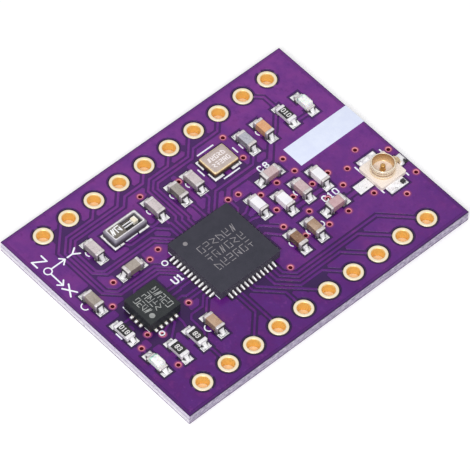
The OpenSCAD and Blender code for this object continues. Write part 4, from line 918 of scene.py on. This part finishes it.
# under the window: a tinted plate with marks, and a strip along each side
slab(soup, 1.06, 1.2, 0.58, 0.63, 0.03, 0.01, 2, at @ shift(0, -0.78))
strokes(soup, write("ec", (0.13, -1.26), 90, 0.54, 0.36, 0.5), 0.1, 0.63, 3, at, 0.003)
for x in (-0.4, 0.4):
    slab(soup, 0.05, 1.2, 0.36, 0.4, 0.01, 0.01, 2, at @ shift(x, 0.5))
soup.build("case_of_watch_crystal", "watch_ceramic crystal_pit window_tint mark_white", "watch_crystal_case")
soup = Soup()
rings = tiers(1.47, 3.17, ((0, FRAME_FOOT), (0, 0.64), (0.02, 0.67), (0.09, 0.735), (0.105, 0.745),
                           (0.12, 0.75), (0.19, 0.75), (0.205, 0.74), (0.21, 0.72), (0.21, FRAME_FOOT)),
              lambda inset: 0.2 - inset * 0.4)
soup.loft(rings[:5], 1, at, (False, False))
soup.loft(rings[4:], 0, at, (False, False))
soup.build("frame_of_watch_crystal", "watch_frame watch_ceramic", "watch_crystal_frame")
soup = Soup()
slab(soup, 1.06, 2.76, 0.65, 0.71, 0.1, 0.01, 0, at)
soup.build("window_of_watch_crystal", "watch_glass", "watch_crystal_glass")
soup = Soup()
slab(soup, 0.5, 0.42, 0.18, 0.54, 0.03, 0.02, 0, at @ shift(-0.1, 1.0))
for x in (-0.22, 0.02):
    slab(soup, 0.07, 1.3, 0.36, 0.48, 0.015, 0.01, 1, at @ shift(x, 0.2))
soup.build("fork_of_watch_crystal", "quartz mark_white", "watch_crystal_fork")

at = place(MAIN)
soup = Soup()
slab(soup, MAIN_W, MAIN_L, 0, SEAL_FOOT, 0.12, 0.012, 0, at)
soup.build("base_of_main_crystal", "crystal_ceramic", "main_crystal_base")
soup = Soup()
frame_ring(soup, 1.96, 2.46, SEAL_FOOT, SEAL_TOP, 0.2, 0.14, 0.02, at)
soup.build("seal_of_main_crystal", "crystal_seal", "main_crystal_seal")
soup = Soup()
rings = tiers(MAIN_W, MAIN_L, ((0.05, SEAL_TOP), (0.05, 0.475), (0.06, 0.487), (0.09, 0.494), (0.11, 0.51),
                               (0.125, 0.53), (0.145, 0.54), (0.3, 0.538)),
              lambda inset: max(0.16 - inset * 0.4, 0.06))
soup.loft(rings[:6], 2, at, (True, False))
soup.loft(rings[5:], 0, at, (False, True))
rows = write("ebadh", (-0.12, -0.8), 90, 0.36, 0.2, 0.34) + write("dfgca", (0.5, -0.8), 90, 0.36, 0.2, 0.34)
strokes(soup, rows, 0.085, 0.5385, 1, at, 0.002)
soup.build("lid_of_main_crystal", "crystal_lid lid_mark lid_edge", "main_crystal_lid")


# ---- tinned pads of the crystals and the socket

def tinned(p, x, y, w, l, seed, swell=0.05):
    """A pad beside p with a skin of solder: thin at the rim, lumpy in the middle."""
    n = 20
    rings = []
    for i in range(n + 1):
        u = w / 2 * sin(pi / 2 * (2 * i / n - 1))
        row = []
        for j in range(n + 1):
            v = l / 2 * sin(pi / 2 * (2 * j / n - 1))
            edge = min(w / 2 - abs(u), l / 2 - abs(v))
            z = 0.04 * (1 - exp(-edge / 0.02))
            z += swell * min(edge / 0.14, 1) * (0.55 + 1.1 * field(u * 3.1 + seed, v * 3.1, seed))
            row.append((u, v, max(z, 0)))
        rings.append(row)
    soup.loft(rings, 0, shift(p[0] + x, p[1] + y, PAD_Z), (False, False), loop=False)


soup = Soup()
k = 0
for side in (-1, 1):
    tinned(WATCH, 0, side * 1.23, 1.75, 0.98, k + 0.5)
    for end in (-1, 1):
        k += 1
        tinned(MAIN, side * 0.715, end * 0.885, 0.92, 0.93, 2.7 * k)
for x, y, w, l, swell in ((-1.55, 0, 0.9, 1.76, 0.17), (1.55, 0, 0.9, 1.76, 0.17), (0, -1.98, 0.94, 1.4, 0.02),
                          (0, 1.84, 1.0, 0.86, 0.17)):
    k += 1
    tinned(SOCKET, x, y, w, l, 3.9 * k, swell)
soup.build("tinned_pads", "solder_lumps", "part_solder", slot="solder")


# ---- the coax socket

at = place(SOCKET)
soup = Soup()
slab(soup, 2.6, 2.6, 0, 0.36, 0.15, 0.03, 0, at, n=6)
soup.build("base_of_socket", "socket_plastic", "antenna_base")
soup = Soup()
# up the outside with its groove, over the lip and down the bore
soup.lathe([(1.0, 0.36), (1.0, 0.5), (0.99, 0.56), (0.965, 0.6), (0.955, 0.66), (0.95, 0.8), (0.92, 0.84),
            (0.912, 0.88), (0.92, 0.92), (0.95, 0.96), (0.96, 1.0), (0.96, 1.12), (0.952, 1.165), (0.934, 1.19),
            (0.905, 1.2), (0.878, 1.19), (0.862, 1.165), (0.856, 1.12), (0.856, 0.42), (0.84, 0.385),
            (0.8, 0.368)], 72, 0, at)
for side in (-1, 1):
    slab(soup, 0.46, 1.48, 0, 0.05, 0.05, 0.02, 1, at @ shift(side * 1.5, 0))
tab = [(0.93, 0.36), (0.93, 0.66), (1.02, 0.64), (1.2, 0.6), (1.38, 0.56), (1.48, 0.5), (1.54, 0.4),
       (1.57, 0.26), (1.61, 0.18), (1.66, 0.16), (1.8, 0.14), (1.81, 0.09), (1.81, 0), (1.5, 0), (1.48, 0.1),
       (1.45, 0.3), (1.38, 0.4), (1.28, 0.42), (1.1, 0.38)]
soup.loft([[(x, y, z) for y, z in tab] for x in (-0.3, -0.28, 0.28, 0.3)], 0, at)
soup.build("ring_of_socket", "socket_gold solder_lumps", "antenna_ring", sharp=50)
soup = Soup()
soup.lathe([(0.25, 0.362), (0.245, 0.38), (0.215, 0.4), (0.2, 0.43), (0.2, 0.8), (0.192, 0.85),
            (0.165, 0.885), (0.11, 0.9), (0, 0.9)], 32, 0, at)
soup.build("pin_of_socket", "pin_gold", "antenna_pin", slot="socket_gold")


# ---- the stage: floor, light, world, camera

def on_stage(name, data, at=(0, 0, 0), turn=(0, 0, 0)):
    obj = bpy.data.objects.new(name, data)
    obj.location, obj.rotation_euler = at, turn
    scene.collection.objects.link(obj)


f = Finish("floor", Specular_IOR_Level=0.0, Roughness=1.0, Emission_Color=(1, 1, 1, 1),
           Emission_Strength=0.12)
# gold light that the plated holes throw down on the floor inside them
across = f.op("SUBTRACT", f.size(0), HEADER_X)
along = f.node("Math", {0: f.axis(1), 1: HEADER_PITCH / 2, 2: -HEADER_PITCH / 2}, operation="WRAP").outputs[0]
along = f.op("SUBTRACT", f.op("ABSOLUTE", along), HEADER_PITCH / 2)
inside = f.ramp(f.length(across, along), (0.5, 1), (0.56, 0))
inside = f.op("MULTIPLY", inside, f.ramp(f.op("DIVIDE", f.size(1), 20), (0.62, 1), (0.63, 0)))
f.paint(f.mix(inside, 0.92, (240, 204, 140)))
# clear from below, so that views from there see the board
below = f.node("NewGeometry").outputs["Backfacing"]
clear = f.node("BsdfTransparent").outputs[0]
both = f.node("MixShader", {0: below, 1: f.shader.outputs[0], 2: clear})
f.link(both.outputs[0], f.out.inputs[0])
mesh = bpy.data.meshes.new("floor")
# half its width and its height, both in metres
r, z = 0.9, -0.00002
mesh.from_pydata([(-r, -r, z), (r, -r, z), (r, r, z), (-r, r, z)], [], [(0, 1, 2, 3)])
mesh.materials.append(f.mat)
on_stage("floor", mesh)

light = bpy.data.lights.new("key", "AREA")
light.shape, light.size, light.energy = "DISK", 0.2, 1.0
toward = Vector((0.56, -0.64, 0.98)).normalized()
on_stage("key", light, toward * 0.45, toward.to_track_quat("Z", "Y").to_euler())

# the world: brighter above and on one side, and plain white as a backdrop
world = bpy.data.worlds.new("studio")
scene.world = world
g = Graph(world, "OutputWorld")
way = g.node("TexCoord").outputs["Generated"]
rise = g.ramp(g.node("SeparateXYZ", {0: way}).outputs[2], (0, 0.06), (0.2, 0.14), (0.5, 0.78), (1.0, 1.0))
lean = g.node("VectorMath", {0: way, 1: (0.56, -0.72, 0)}, operation="DOT_PRODUCT").outputs["Value"]
lean = g.node("MapRange", {0: lean, 1: -0.6, 2: 0.7, 3: 0.72, 4: 1.2}).outputs[0]
level = g.node("VectorMath", {0: rise, "Scale": lean}, operation="SCALE").outputs[0]
sky = g.node("Background", {0: level, 1: 0.9}).outputs[0]
plain = g.node("Background", {0: (1, 1, 1, 1), 1: 1.0}).outputs[0]
seen = g.node("LightPath").outputs["Is Camera Ray"]
g.link(g.node("MixShader", {0: seen, 1: sky, 2: plain}).outputs[0], g.out.inputs[0])

# the camera as fitted to the photo
IMAGE = 470
cam_data = bpy.data.cameras.new("camera")
cam_data.lens = 375.64
cam_data.sensor_width = 36
cam_data.shift_x, cam_data.shift_y = -0.5 / IMAGE, 0.5 / IMAGE
cam_data.clip_start, cam_data.clip_end = 0.01, 10
cam = bpy.data.objects.new("camera", cam_data)
axes = Matrix(((0.675454, 0.736744, 0.031162), (-0.603107, 0.527631, 0.59822), (0.424293, -0.422864, 0.800726)))
cam.matrix_world = (Matrix.Translation(Vector((156.834, -156.272, 295.847)) * MM)
                    @ axes.transposed().to_4x4())
scene.collection.objects.link(cam)
scene.camera = cam
scene.view_settings.view_transform = "Standard"
